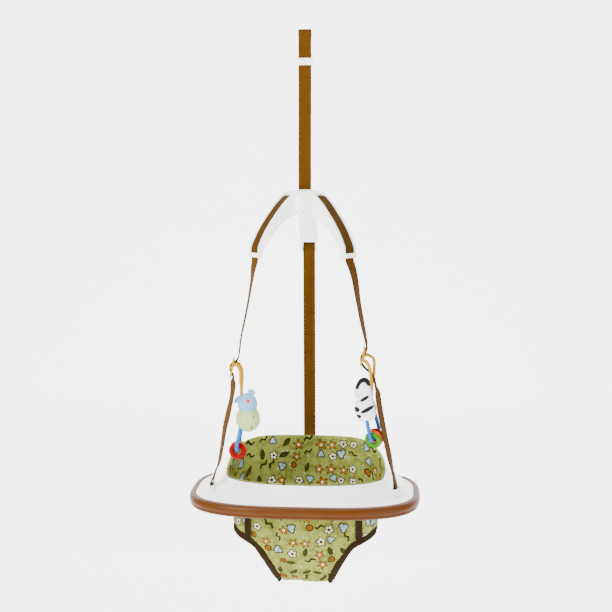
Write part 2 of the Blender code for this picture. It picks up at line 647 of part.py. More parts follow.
def strap_tail():
    back_leg = ADJUSTER_CHANNEL_DEPTH / 2 + ADJUSTER_BACK_WALL + GAP + WEBBING_THICKNESS / 2
    bottom = -ADJUSTER_CENTRE_DROP - ADJUSTER_HEIGHT / 2
    sill = -ADJUSTER_CENTRE_DROP + ADJUSTER_HEIGHT / 2 - ADJUSTER_TOP_BAR - ADJUSTER_WINDOW
    turn = sill + GAP + WEBBING_THICKNESS / 2
    places = [
        (0, 0, bottom),
        (0, 0, sill),
        (0, back_leg * 0.12, turn - WEBBING_THICKNESS * 0.25),
        (0, back_leg * 0.5, turn),
        (0, back_leg * 0.88, turn - WEBBING_THICKNESS * 0.25),
        (0, back_leg, sill),
        (0, back_leg, bottom),
        (0, back_leg * 0.8, bottom - TAIL_LENGTH * 0.5),
        (0, back_leg * 1.2, bottom - TAIL_LENGTH),
    ]
    route = flat_route(places, 0, BEND_SPACING)
    return add_object("strap_tail", webbing("strap_tail", route, taper=False), WEBBING_BROWN)


def main_strap():
    top = -ADJUSTER_CENTRE_DROP - ADJUSTER_HEIGHT / 2 - GAP
    bottom = -CROSSBAR_DROP + SEWN_NECK_RISE
    places = [(0, 0, top), (0, 0, mix(top, bottom, 0.5)), (0, 0, bottom)]
    route = flat_route(places, 0, LONG_SPACING)
    return add_object("main_strap", webbing("main_strap", route, taper=False), WEBBING_BROWN)


def main_strap_loop():
    top = -CROSSBAR_DROP + SEWN_NECK_RISE - GAP
    wrap = CROSSBAR_DIAMETER / 2 + GAP + WEBBING_THICKNESS / 2
    centre = -CROSSBAR_DROP
    places = [(0, 0, top), (0, 0, top - WEBBING_LAYER_PITCH), (0, wrap * 0.75, centre + wrap * 1.35)]
    for turn in (20, -10, -50, -90, -130, -170, -200):
        places.append((0, wrap * math.cos(math.radians(turn)), centre + wrap * math.sin(math.radians(turn))))
    places += [(0, -wrap * 0.75, centre + wrap * 1.35), (0, -WEBBING_LAYER_PITCH, top - WEBBING_LAYER_PITCH),
               (0, -WEBBING_LAYER_PITCH, top), (0, -WEBBING_LAYER_PITCH, top + WEBBING_WIDTH * 0.4)]
    route = flat_route(places, 0, FINE_SPACING)
    return add_object("main_strap_loop", webbing("main_strap_loop", route, taper=False), WEBBING_BROWN)


# Hanger
def arm_sections(outer_offset=0.0, inner_offset=0.0, first=0, last=None):
    # Pairs of (reach, height), moved inwards from the arm's outer and inner faces.
    rows = ARM_SECTION_SHARES
    outer = [Vector((ARM_REACH * row[0], -CROWN_TOP_DROP - ARM_DROP * row[1])) for row in rows]
    inner = [Vector((ARM_REACH * row[2], -CROWN_TOP_DROP - ARM_DROP * row[3])) for row in rows]

    def shifted(line, offset, side):
        moved = []
        for index, place in enumerate(line):
            along = (line[min(index + 1, len(line) - 1)] - line[max(index - 1, 0)]).normalized()
            moved.append(place + Vector((along.y, -along.x)) * offset * side)
        return moved

    outer, inner = shifted(outer, outer_offset, 1), shifted(inner, inner_offset, -1)
    return list(zip(outer, inner))[first:last]


def arm_half_width(index):
    return mix(ARM_ROOT_WIDTH, ARM_TIP_WIDTH, index / (len(ARM_SECTION_SHARES) - 1)) / 2


def arm_ring(outer, inner, half):
    # One section across an arm: its outer face, then its inner one.
    return [Vector((outer.x, -half, outer.y)), Vector((outer.x, half, outer.y)),
            Vector((inner.x, half, inner.y)), Vector((inner.x, -half, inner.y))]


def arm_block(name, direction, outer_offset, inner_offset, side_inset, first=0, last=None):
    rings = []
    for index, (outer, inner) in enumerate(arm_sections(outer_offset, inner_offset, first, last), first):
        rings.append(arm_ring(outer, inner, arm_half_width(index) - side_inset))
    mesh = loft(name, rings)
    mesh.transform(Matrix.Rotation(math.radians(direction), 4, "Z"))
    return mesh


def recessed_arm(name, direction):
    # The whole arm, with the shallow recess for the webbing along its outer face.
    rings = []
    half_recess = ARM_RECESS_WIDTH / 2
    floors = arm_sections(ARM_RECESS_DEPTH)
    for index, ((outer, inner), (floor, _)) in enumerate(zip(arm_sections(), floors)):
        half = arm_half_width(index)
        rings.append([Vector((place.x, across, place.y)) for place, across in (
            (outer, -half), (outer, -half_recess), (floor, -half_recess), (floor, half_recess),
            (outer, half_recess), (outer, half), (inner, half), (inner, -half))])
    mesh = loft(name, rings)
    mesh.transform(Matrix.Rotation(math.radians(direction), 4, "Z"))
    return mesh


def hub_profile(inset, bottom_drop):
    top = -CROWN_TOP_DROP - inset
    profile = [(0, top)]
    for radius_share, drop_share in HUB_PROFILE_SHARES:
        profile.append((HUB_RADIUS * radius_share - inset, top - (HUB_HEIGHT - inset) * drop_share))
    profile[-1] = (profile[-1][0], -bottom_drop)
    return profile + [(0, -bottom_drop)]


def hub_solid(name, inset, bottom_drop):
    made = turned(name, hub_profile(inset, bottom_drop))
    CUTTERS.objects.link(made)
    made.hide_render = True
    made.display_type = "WIRE"
    return made


def cover_screw_axis(side):
    reach = bearing_vector(COVER_SCREW_DIRECTIONS[side]) * COVER_SCREW_REACH
    return reach.x, reach.y


def hanger_shell():
    hub_bottom = CROWN_TOP_DROP + HUB_HEIGHT
    shell = turned("hanger_shell", hub_profile(0.0, hub_bottom))
    PARTS.objects.link(shell)
    shell.data.materials.append(PLASTIC_WHITE)
    floor_depth = ARM_RECESS_DEPTH + ARM_WALL
    for side, direction in ARM_DIRECTIONS.items():
        combine(shell, add_cutter("arm_" + side, recessed_arm("arm_" + side, direction)), "UNION")
    combine(shell, hub_solid("hub_hollow", HUB_WALL, hub_bottom + OVERRUN), "DIFFERENCE")
    for side, direction in ARM_DIRECTIONS.items():
        hollow = arm_block("arm_hollow_" + side, direction, floor_depth, -OVERRUN, ARM_WALL, 0, -1)
        combine(shell, add_cutter("arm_hollow_" + side, hollow), "DIFFERENCE")
    for end in (-1, 1):
        saddle = box("saddle", (SADDLE_THICKNESS, SADDLE_DEPTH, HUB_HEIGHT * 0.75),
                     (end * SADDLE_OFFSET, 0, -CROWN_TOP_DROP - HUB_WALL * 1.6 - HUB_HEIGHT * 0.375))
        combine(shell, add_cutter("saddle_" + str(end), saddle), "UNION")
    for side in COVER_SCREW_DIRECTIONS:
        x, y = cover_screw_axis(side)
        boss_top = -CROWN_TOP_DROP - HUB_HEIGHT * 0.175
        boss_bottom = -hub_bottom + COVER_THICKNESS + GAP
        boss = cylinder("boss", SCREW_BOSS_DIAMETER, (x, y, boss_top), (x, y, boss_bottom), 16)
        combine(shell, add_cutter("cover_boss_" + side, boss), "UNION")
        pilot = cylinder("pilot", SCREW_SHANK_DIAMETER + GAP * 2, (x, y, boss_bottom + SCREW_SHANK_LENGTH),
                         (x, y, boss_bottom - OVERRUN), 12)
        combine(shell, add_cutter("cover_pilot_" + side, pilot), "DIFFERENCE")
    bore_half = CROSSBAR_LENGTH / 2 + GAP
    bore = cylinder("bore", CROSSBAR_DIAMETER + BORE_CLEARANCE, (-bore_half, 0, -CROSSBAR_DROP),
                    (bore_half, 0, -CROSSBAR_DROP), 24)
    combine(shell, add_cutter("crossbar_bore", bore), "DIFFERENCE")
    slot = box("slot", (TOP_SLOT_WIDTH, TOP_SLOT_DEPTH, HUB_HEIGHT * 0.5), (0, 0, -CROWN_TOP_DROP))
    combine(shell, add_cutter("top_slot", slot), "DIFFERENCE")
    for side, direction in ARM_DIRECTIONS.items():
        turn = math.radians(direction)
        notch = box("notch", (ARM_REACH * 0.5, ARM_RECESS_WIDTH + GAP * 3, ARM_DROP),
                    (ARM_REACH, 0, -PRONG_NOTCH_DROP - ARM_DROP / 2), turn)
        combine(shell, add_cutter("notch_" + side, notch), "DIFFERENCE")
        entry_centre = (STRAP_ENTRY_REACH + STRAP_ENTRY_SLOT * 0.25, 0, -CROWN_TOP_DROP - HUB_HEIGHT * 0.34)
        entry_size = (STRAP_ENTRY_SLOT, ARM_RECESS_WIDTH + GAP * 2, HUB_HEIGHT * 0.72)
        entry = add_cutter("entry_" + side, box("entry", entry_size, entry_centre, turn))
        combine(shell, entry, "DIFFERENCE")
    return shell


def hanger_cover():
    hub_bottom = CROWN_TOP_DROP + HUB_HEIGHT
    radius = HUB_RADIUS * HUB_PROFILE_SHARES[-1][0] - HUB_WALL - GAP * 2
    cover = add_object("hanger_cover", cylinder("hanger_cover", radius * 2, (0, 0, -hub_bottom),
                                                (0, 0, -hub_bottom + COVER_THICKNESS), 36), PLASTIC_WHITE)
    for side, direction in ARM_DIRECTIONS.items():
        rings = []
        outer_faces = arm_sections(0, COVER_THICKNESS)[0:-2]
        inner_faces = arm_sections(0, 0)[0:-2]
        for index, (upper, lower) in enumerate(zip(outer_faces, inner_faces)):
            rings.append(arm_ring(upper[1], lower[1], arm_half_width(index) - ARM_WALL - GAP))
        leaf = loft("leaf_" + side, rings)
        leaf.transform(Matrix.Rotation(math.radians(direction), 4, "Z"))
        combine(cover, add_cutter("cover_leaf_" + side, leaf), "UNION")
    for side in COVER_SCREW_DIRECTIONS:
        x, y = cover_screw_axis(side)
        hole = cylinder("hole", SCREW_SHANK_DIAMETER + GAP * 2, (x, y, -hub_bottom - OVERRUN),
                        (x, y, -hub_bottom + COVER_THICKNESS + OVERRUN), 12)
        combine(cover, add_cutter("cover_hole_" + side, hole), "DIFFERENCE")
    return cover


def screw(name, x, y, seat_drop):
    shank, head = SCREW_SHANK_DIAMETER / 2, SCREW_HEAD_DIAMETER / 2
    profile = [(0, SCREW_SHANK_LENGTH), (shank, SCREW_SHANK_LENGTH - shank), (shank, 0), (head, 0),
               (head, -SCREW_HEAD_HEIGHT * 0.4), (head * 0.72, -SCREW_HEAD_HEIGHT), (0, -SCREW_HEAD_HEIGHT)]
    made = turned(name, profile, 12)
    PARTS.objects.link(made)
    made.data.materials.append(STEEL)
    made.location = (x, y, -seat_drop - GAP)
    return made


def crossbar():
    start = (-CROSSBAR_LENGTH / 2, 0, -CROSSBAR_DROP)
    end = (CROSSBAR_LENGTH / 2, 0, -CROSSBAR_DROP)
    bar = cylinder("hanger_crossbar", CROSSBAR_DIAMETER, start, end, 24)
    return add_object("hanger_crossbar", bar, STEEL)


def keeper(side):
    direction = ARM_DIRECTIONS[side]
    face = ARM_REACH * ARM_SECTION_SHARES[-1][0]
    made = add_object("strap_keeper_" + side, box("strap_keeper_" + side, (
        KEEPER_THICKNESS, ARM_TIP_WIDTH, KEEPER_HEIGHT),
        (face + GAP + KEEPER_THICKNESS / 2, 0, -KEEPER_CENTRE_DROP), math.radians(direction)), PLASTIC_WHITE)
    bevel = made.modifiers.new("rounded_edges", "BEVEL")
    bevel.width = KEEPER_THICKNESS * 0.3
    bevel.segments = 2
    return made


def arm_strap_reach():
    return ARM_REACH * ARM_SECTION_SHARES[-1][0] - ARM_RIM_STEP - WEBBING_THICKNESS / 2


def arm_strap(side):
    # The stretch of webbing that lies in the arm's recess, from inside the hub to the keeper.
    direction = ARM_DIRECTIONS[side]
    centreline = [pair[0] for pair in arm_sections(ARM_RIM_STEP + WEBBING_THICKNESS / 2)]
    hub_bottom = -CROWN_TOP_DROP - HUB_HEIGHT
    entry = STRAP_ENTRY_REACH + WEBBING_THICKNESS
    crest = centreline[3]
    places = [Vector((entry, hub_bottom + HUB_HEIGHT * 0.30)),
              Vector((entry, hub_bottom + HUB_HEIGHT * 0.55)),
              Vector((mix(entry, crest.x, 0.06), crest.y + WEBBING_THICKNESS * 1.6)),
              Vector((mix(entry, crest.x, 0.30), crest.y + WEBBING_THICKNESS * 3.2)),
              Vector((mix(entry, crest.x, 0.62), crest.y + WEBBING_THICKNESS * 2.6))]
    places += centreline[3:-1]
    places.append(Vector((arm_strap_reach(), -STRAP_BEND_DROP + WEBBING_END_TAPER * 2)))
    places.append(Vector((arm_strap_reach(), -STRAP_BEND_DROP)))
    outward = bearing_vector(direction)
    route = flat_route([(outward.x * place.x, outward.y * place.x, place.y) for place in places],
                       direction + 90, BEND_SPACING)
    return add_object("arm_strap_" + side, webbing("arm_strap_" + side, route), WEBBING_BROWN)


# Straps down to the tray
def front_strap(side):
    sign = -1 if side == "left" else 1
    outward = bearing_vector(ARM_DIRECTIONS[side])
    start_x, start_y = outward.x * arm_strap_reach(), outward.y * arm_strap_reach()
    start_bearing = ARM_DIRECTIONS[side] % 180 + 90 - 180 * (side == "right")
    route = [(*hung(start_x, start_y, GAP), start_bearing, 1.0),
             (*hung(start_x, start_y, KEEPER_HEIGHT - GAP), start_bearing, 1.0)]
    for place, bearing, share in zip(FRONT_STRAP_PLACES[side], FRONT_STRAP_BEARINGS[side],
                                     FRONT_STRAP_WIDTH_SHARES[side]):
        route.append((*hung(*place), bearing, share))
    end_x = sign * (FRONT_ANCHOR_X - FRONT_STRAP_LEAN)
    end_bearing = 90 - sign * FRONT_ANCHOR_TURN
    route.append((end_x, FRONT_ANCHOR_Y, -STRAP_LOOP_TOP_DROP + GAP * 3, end_bearing, 1.0))
    name = "front_strap_" + side
    return add_object(name, webbing(name, smooth_route(route, CURVE_SPACING)), WEBBING_BROWN)


def anchor_loop_places(slack):
    # Side view of the loop round an anchor pin: offset across the pin, and height.
    wrap = ANCHOR_PIN_DIAMETER / 2 + GAP + WEBBING_THICKNESS / 2
    pin = -ANCHOR_PAD_DROP - ANCHOR_PIN_DEPTH
    sewn = mix(-ANCHOR_PAD_DROP, -STRAP_LOOP_TOP_DROP, 0.60)
    places = [(0, sewn), (-wrap * 0.5, mix(sewn, pin, 0.5)), (-wrap, pin + wrap * 0.8)]
    for turn in (200, 235, 270, 305, 340):
        places.append((wrap * math.cos(math.radians(turn)),
                       pin - slack + wrap * math.sin(math.radians(turn))))
    places += [(wrap, pin + wrap * 0.8), (wrap * 0.5 + WEBBING_LAYER_PITCH, mix(sewn, pin, 0.5)),
               (WEBBING_LAYER_PITCH, sewn)]
    return places


def front_strap_loop(side):
    # The sewn end of the webbing, round its anchor pin in the tray.
    sign = -1 if side == "left" else 1
    top = -STRAP_LOOP_TOP_DROP
    deck = -ANCHOR_PAD_DROP
    places = [(0, top), *anchor_loop_places(0), (WEBBING_LAYER_PITCH, top - WEBBING_END_TAPER * 2)]
    turn = math.radians(FRONT_ANCHOR_TURN)

    def placed(offset, height):
        lean = FRONT_STRAP_LEAN * max(height - deck, 0) / (top - deck)
        return (sign * (FRONT_ANCHOR_X - lean + offset * math.cos(turn)),
                FRONT_ANCHOR_Y - offset * math.sin(turn), height)

    route = flat_route([placed(offset, height) for offset, height in places],
                       90 - sign * FRONT_ANCHOR_TURN, BEND_SPACING)
    name = "strap_loop_" + side
    return add_object(name, webbing(name, route), WEBBING_BROWN)


def back_strap():
    reach = arm_strap_reach()
    top = -STRAP_BEND_DROP - GAP
    loop = anchor_loop_places(BACK_LOOP_SLACK)
    down = [(0, reach, top), (0, reach, top - KEEPER_HEIGHT)]
    loop_top = loop[0][1]
    for share in (0.25, 0.5, 0.75):
        down.append((0, mix(reach, BACK_ANCHOR_Y, share), mix(top - KEEPER_HEIGHT, loop_top, share)))
    turn = [(0, BACK_ANCHOR_Y + offset, height) for offset, height in loop]
    tail = (0, BACK_ANCHOR_Y + WEBBING_LAYER_PITCH, -STRAP_LOOP_TOP_DROP)
    straight = flat_route(down, 0, LONG_SPACING)[:-1]
    route = straight + flat_route([down[-1]] + turn + [tail], 0, BEND_SPACING)[1:]
    return add_object("back_strap", webbing("back_strap", route), WEBBING_BROWN)


# Tray
def oval(half_width, half_depth, centre_y, roundness, heights):
    points = []
    for index in range(OVAL_SEGMENTS):
        turn = math.tau * index / OVAL_SEGMENTS
        across, along = math.cos(turn), math.sin(turn)
        x = half_width * math.copysign(abs(across) ** (2 / roundness), across)
        y = centre_y + half_depth * math.copysign(abs(along) ** (2 / roundness), along)
        points.append(Vector((x, y, heights(along))))
    return points


def tray_outline(place, offset, heights):
    # place runs from 0 at the seat opening to 1 at the tray's edge
    return oval(mix(OPENING_HALF_WIDTH, EDGE_HALF_WIDTH, place) + offset,
                mix(OPENING_HALF_DEPTH, EDGE_HALF_DEPTH, place) + offset,
                mix(OPENING_CENTRE_Y, TRAY_CENTRE_Y, place),
                mix(OPENING_ROUNDNESS_SHARE, EDGE_ROUNDNESS_SHARE, place), heights)


def collar_rise(along):
    span = COLLAR_RISE_END_SHARE - COLLAR_RISE_START_SHARE
    return ease((along - COLLAR_RISE_START_SHARE) / span)


def between_heights(front, back):
    return lambda along: mix(front, back, collar_rise(along))


def level(height):
    return lambda along: height


def lip_height(drop=0.0):
    return between_heights(-LIP_FRONT_DROP - drop, -LIP_BACK_DROP - drop)


def deck_height(x, y):
    # The height of the deck's upper surface, found by halving between opening and edge.
    low, high = 0.0, 1.0
    while high - low > DECK_SEARCH_SHARE:
        middle = (low + high) / 2
        roundness = mix(OPENING_ROUNDNESS_SHARE, EDGE_ROUNDNESS_SHARE, middle)
        across = abs(x) / mix(OPENING_HALF_WIDTH, EDGE_HALF_WIDTH, middle)
        centre_y = mix(OPENING_CENTRE_Y, TRAY_CENTRE_Y, middle)
        along = abs(y - centre_y) / mix(OPENING_HALF_DEPTH, EDGE_HALF_DEPTH, middle)
        if across ** roundness + along ** roundness > 1:
            low = middle
        else:
            high = middle
    turn = math.atan2((y - TRAY_CENTRE_Y) * EDGE_HALF_WIDTH, x * EDGE_HALF_DEPTH)
    rise = collar_rise(math.copysign(abs(math.sin(turn)) ** (EDGE_ROUNDNESS_SHARE / 2), math.sin(turn)))
    for outer, inner in zip(DECK_SHARES, DECK_SHARES[1:]):
        if low >= inner[0]:
            share = (outer[0] - low) / (outer[0] - inner[0])
            front_share, back_share = mix(outer[1], inner[1], share), mix(outer[2], inner[2], share)
            return mix(mix(-EDGE_DROP, -LIP_FRONT_DROP, front_share),
                       mix(-EDGE_DROP, -LIP_BACK_DROP, back_share), rise)
    return -LIP_FRONT_DROP


def anchor_places():
    return {"left": (-FRONT_ANCHOR_X, FRONT_ANCHOR_Y, math.radians(90 + FRONT_ANCHOR_TURN)),
            "right": (FRONT_ANCHOR_X, FRONT_ANCHOR_Y, math.radians(90 - FRONT_ANCHOR_TURN)),
            "back": (0.0, BACK_ANCHOR_Y, 0.0)}


def anchor_box(name, side, size, top):
    # A box along the anchor's slot whose upper face is at the height given.
    x, y, turn = anchor_places()[side]
    mesh = box(name, size, (0, 0, 0), turn)
    mesh.transform(Matrix.Translation((x, y, top - size[2] / 2)))
    return mesh


def tray_screw_place(name):
    across, along = TRAY_SCREW_PLACES_SHARES[name]
    return EDGE_HALF_WIDTH * across, TRAY_CENTRE_Y + EDGE_HALF_DEPTH * along


def tray_top():
    rings = [tray_outline(1.0, 0, level(-EDGE_DROP - SKIRT_HEIGHT))]
    for place, front_share, back_share in DECK_SHARES:
        rings.append(tray_outline(place, 0, between_heights(
            mix(-EDGE_DROP, -LIP_FRONT_DROP, front_share), mix(-EDGE_DROP, -LIP_BACK_DROP, back_share))))
    rings.append(tray_outline(0.0, -LIP_ROLL, lip_height(LIP_ROLL)))
    rings.append(tray_outline(0.0, -LIP_ROLL, level(-INNER_WALL_DROP)))
    body = add_object("tray_top", loft("tray_top", rings, capped=False), PLASTIC_WHITE)
    wall = body.modifiers.new("wall", "SOLIDIFY")
    wall.thickness = TRAY_WALL
    wall.offset = -1.0
    wall.use_even_offset = True
    for name in TRAY_SCREW_PLACES_SHARES:
        x, y = tray_screw_place(name)
        floor = -BASE_FLOOR_DROP + TRAY_WALL + GAP
        ceiling = deck_height(x, y) - TRAY_WALL * 0.8
        boss = cylinder("boss", TRAY_BOSS_DIAMETER, (x, y, ceiling), (x, y, floor), 16)
        combine(body, add_cutter("tray_boss_" + name, boss), "UNION")
        pilot = cylinder("pilot", SCREW_SHANK_DIAMETER + GAP * 2, (x, y, floor + SCREW_SHANK_LENGTH),
                         (x, y, floor - OVERRUN), 12)
        combine(body, add_cutter("tray_pilot_" + name, pilot), "DIFFERENCE")
    for side in anchor_places():
        pad_size = (ANCHOR_PAD_LENGTH, ANCHOR_PAD_WIDTH, ANCHOR_PAD_DEPTH)
        pad = anchor_box("pad", side, pad_size, -ANCHOR_PAD_DROP)
        combine(body, add_cutter("anchor_pad_" + side, pad), "UNION")
        space = anchor_box("space", side, pad_size, -ANCHOR_PAD_DROP + ANCHOR_PAD_DEPTH)
        combine(body, add_cutter("anchor_space_" + side, space), "DIFFERENCE")
        hole_size = (BEZEL_BODY_LENGTH + GAP * 2, BEZEL_BODY_WIDTH + GAP * 2,
                     ANCHOR_PAD_DEPTH + TRAY_WALL + OVERRUN * 2)
        hole = anchor_box("hole", side, hole_size, -ANCHOR_PAD_DROP + OVERRUN)
        combine(body, add_cutter("anchor_hole_" + side, hole), "DIFFERENCE")
    return body


def tray_base():
    rings = [tray_outline(1.0, -TRAY_WALL / 2, level(-EDGE_DROP - SKIRT_HEIGHT - GAP)),
             tray_outline(1.0, -TRAY_WALL / 2, level(-BASE_SIDE_DROP))]
    for place in BASE_FLOOR_SHARES:
        rings.append(tray_outline(place, 0, level(-BASE_FLOOR_DROP)))
    rings.append(tray_outline(0.0, -LIP_ROLL, level(-BASE_SIDE_DROP)))
    rings.append(tray_outline(0.0, -LIP_ROLL, level(-INNER_WALL_DROP - GAP)))
    body = add_object("tray_base", loft("tray_base", list(reversed(rings)), capped=False), PLASTIC_WHITE)
    wall = body.modifiers.new("wall", "SOLIDIFY")
    wall.thickness = TRAY_WALL
    wall.offset = -1.0
    wall.use_even_offset = True
    for name in TRAY_SCREW_PLACES_SHARES:
        x, y = tray_screw_place(name)
        hole = cylinder("hole", SCREW_SHANK_DIAMETER + GAP * 2, (x, y, -BASE_FLOOR_DROP - OVERRUN),
                        (x, y, -BASE_FLOOR_DROP + TRAY_WALL + OVERRUN), 12)
        combine(body, add_cutter("base_hole_" + name, hole), "DIFFERENCE")
    return body


def bumper():
    rings = []
    for outward_share, height_share in BUMPER_SHARES:
        height = -BUMPER_CENTRE_DROP + BUMPER_HEIGHT / 2 * height_share
        rings.append(tray_outline(1.0, BUMPER_DEPTH * outward_share, level(height)))
    return add_object("tray_bumper", loft("tray_bumper", rings, closed=True), BUMPER_BROWN)


def anchor_bezel(side):
    top = -ANCHOR_PAD_DROP + GAP + BEZEL_FLANGE_THICKNESS
    name = "strap_anchor_" + side
    body = add_object(name, anchor_box(name, side, (BEZEL_FLANGE_LENGTH, BEZEL_FLANGE_WIDTH,
                                                    BEZEL_FLANGE_THICKNESS), top), PLASTIC_WHITE)
    well = anchor_box("well", side, (BEZEL_BODY_LENGTH, BEZEL_BODY_WIDTH, BEZEL_BODY_DEPTH),
                      top - BEZEL_FLANGE_THICKNESS / 2)
    combine(body, add_cutter("anchor_well_" + side, well), "UNION")
    slot = anchor_box("slot", side, (BEZEL_SLOT_LENGTH, BEZEL_SLOT_WIDTH, BEZEL_BODY_DEPTH * 2),
                      top + BEZEL_BODY_DEPTH * 0.5)
    combine(body, add_cutter("anchor_slot_" + side, slot), "DIFFERENCE")
    x, y, turn = anchor_places()[side]
    half = Vector((math.cos(turn), math.sin(turn), 0)) * (BEZEL_BODY_LENGTH / 2 + OVERRUN)
    centre = Vector((x, y, -ANCHOR_PAD_DROP - ANCHOR_PIN_DEPTH))
    bore = cylinder("bore", ANCHOR_PIN_DIAMETER + BORE_CLEARANCE, centre - half, centre + half, 16)
    combine(body, add_cutter("anchor_bore_" + side, bore), "DIFFERENCE")
    return body


def anchor_pin(side):
    x, y, turn = anchor_places()[side]
    half = Vector((math.cos(turn), math.sin(turn), 0)) * (BEZEL_BODY_LENGTH / 2)
    centre = Vector((x, y, -ANCHOR_PAD_DROP - ANCHOR_PIN_DEPTH))
    name = "anchor_pin_" + side
    return add_object(name, cylinder(name, ANCHOR_PIN_DIAMETER, centre - half, centre + half, 16), STEEL)


# Seat
def seat_section(drop_share):
    # Half width, half depth, centre and roundness of the bucket at a share of its drop.
    rows = SEAT_SHARES
    for upper, lower in zip(rows, rows[1:]):
        if drop_share <= lower[0]:
            share = (drop_share - upper[0]) / (lower[0] - upper[0])
            width, depth, roundness = (mix(upper[column], lower[column], share) for column in (1, 2, 3))
            return (OPENING_HALF_WIDTH * width, OPENING_HALF_DEPTH * depth,
                    mix(OPENING_CENTRE_Y, SEAT_BOTTOM_CENTRE_Y, drop_share), roundness)
    last = rows[-1]
    return OPENING_HALF_WIDTH * last[1], OPENING_HALF_DEPTH * last[2], SEAT_BOTTOM_CENTRE_Y, last[3]


def panel_fullness(x):
    # The padded panels stand fuller between their seams.
    seams = (0.0, SEAT_SEAM_OFFSET, SEAT_STRAP_OFFSET)
    across = abs(x)
    if across < seams[1]:
        share = (across / seams[1] + 1) / 2
    elif across < seams[2]:
        share = (across - seams[1]) / (seams[2] - seams[1])
    else:
        return 0.0
    return SEAT_PANEL_FULLNESS * 4 * share * (1 - share)


def fullness_at(drop_share):
    gone = ease((drop_share - SEAT_FULL_TO_SHARE) / (1 - SEAT_FULL_TO_SHARE))
    return ease(drop_share / SEAT_FULL_FROM_SHARE) * (1 - gone)


def seat_ring(drop_share):
    half_width, half_depth, centre_y, roundness = seat_section(drop_share)
    ring = oval(half_width, half_depth, centre_y, roundness, level(seat_height(drop_share)))
    fullness = fullness_at(drop_share)
    for point in ring:
        towards = (point.y - centre_y) / half_depth
        point.y += panel_fullness(point.x) * towards * fullness
    return ring


def seat_height(drop_share):
    return -mix(BASE_FLOOR_DROP, CROTCH_DROP, drop_share)


def leg_cut_outline():
    corners = [(LEG_CUT_HALF_WIDTH * width_share, -mix(LEG_CUT_TOP_DROP, CROTCH_DROP, drop_share), 0)
               for width_share, drop_share in LEG_CUT_SHARES]
    return [row[:2] for row in smooth_route(corners, BINDING_DIAMETER * 2)]


def seat_bucket():
    hem = -LIP_ROLL + SEAT_HEM_REACH
    rings = [
        tray_outline(0.0, hem, lip_height(-SEAT_HEM_RISE)),
        tray_outline(0.0, hem - SEAT_HEM_REACH * 0.6, lip_height(-SEAT_HEM_RISE)),
        tray_outline(0.0, -LIP_ROLL - SEAT_INSET * 0.3, lip_height(LIP_ROLL * 0.6)),
        tray_outline(0.0, -SEAT_INSET, lip_height(LIP_ROLL * 2.2)),
        tray_outline(0.0, -SEAT_INSET, between_heights(
            mix(-LIP_FRONT_DROP, -INNER_WALL_DROP, 0.5), mix(-LIP_BACK_DROP, -INNER_WALL_DROP, 0.5))),
        tray_outline(0.0, -SEAT_INSET, level(-INNER_WALL_DROP)),
    ]
    for drop_share in [row[0] for row in SEAT_SHARES]:
        rings.append(seat_ring(drop_share))
    build = bmesh.new()
    build.from_mesh(loft("seat_bucket", rings, capped=False))
    build.verts.ensure_lookup_table()
    bottom = [edge for edge in build.edges if edge.is_boundary
              and max(point.co.z for point in edge.verts) < seat_height(1.0) + GAP]
    bmesh.ops.contextual_create(build, geom=bottom)
    body = add_object("seat_bucket", mesh_from_bmesh("seat_bucket", build), FABRIC_GREEN)
    wall = body.modifiers.new("wall", "SOLIDIFY")
    wall.thickness = SEAT_WALL
    wall.offset = -1.0
    for sign, side in ((-1, "left"), (1, "right")):
        outline = leg_cut_outline()
        low = outline[-1][1] - OVERRUN
        points = [(sign * x, z) for x, z in outline] + [
            (sign * outline[-1][0], low), (sign * outline[0][0], low)]
        front = TRAY_CENTRE_Y - EDGE_HALF_DEPTH
        back = TRAY_CENTRE_Y + EDGE_HALF_DEPTH
        rings = [[Vector((x, y, z)) for x, z in points] for y in (front, back)]
        combine(body, add_cutter("leg_opening_" + side, loft("leg_opening_" + side, rings)), "DIFFERENCE")
    return body


def seat_surface(x, height, side_of_seat, inward=0.0):
    # The place on the bucket's front or back wall, measured to the middle of the fabric.
    drop_share = (-height - BASE_FLOOR_DROP) / (CROTCH_DROP - BASE_FLOOR_DROP)
    half_width, half_depth, centre_y, roundness = seat_section(min(max(drop_share, 0.0), 1.0))
    half_width, half_depth = half_width - inward, half_depth - inward
    across = min(abs(x) / half_width, 1.0)
    towards = side_of_seat * (1 - across ** roundness) ** (1 / roundness)
    fullness = fullness_at(drop_share)
    return centre_y + towards * (half_depth + panel_fullness(x) * fullness)


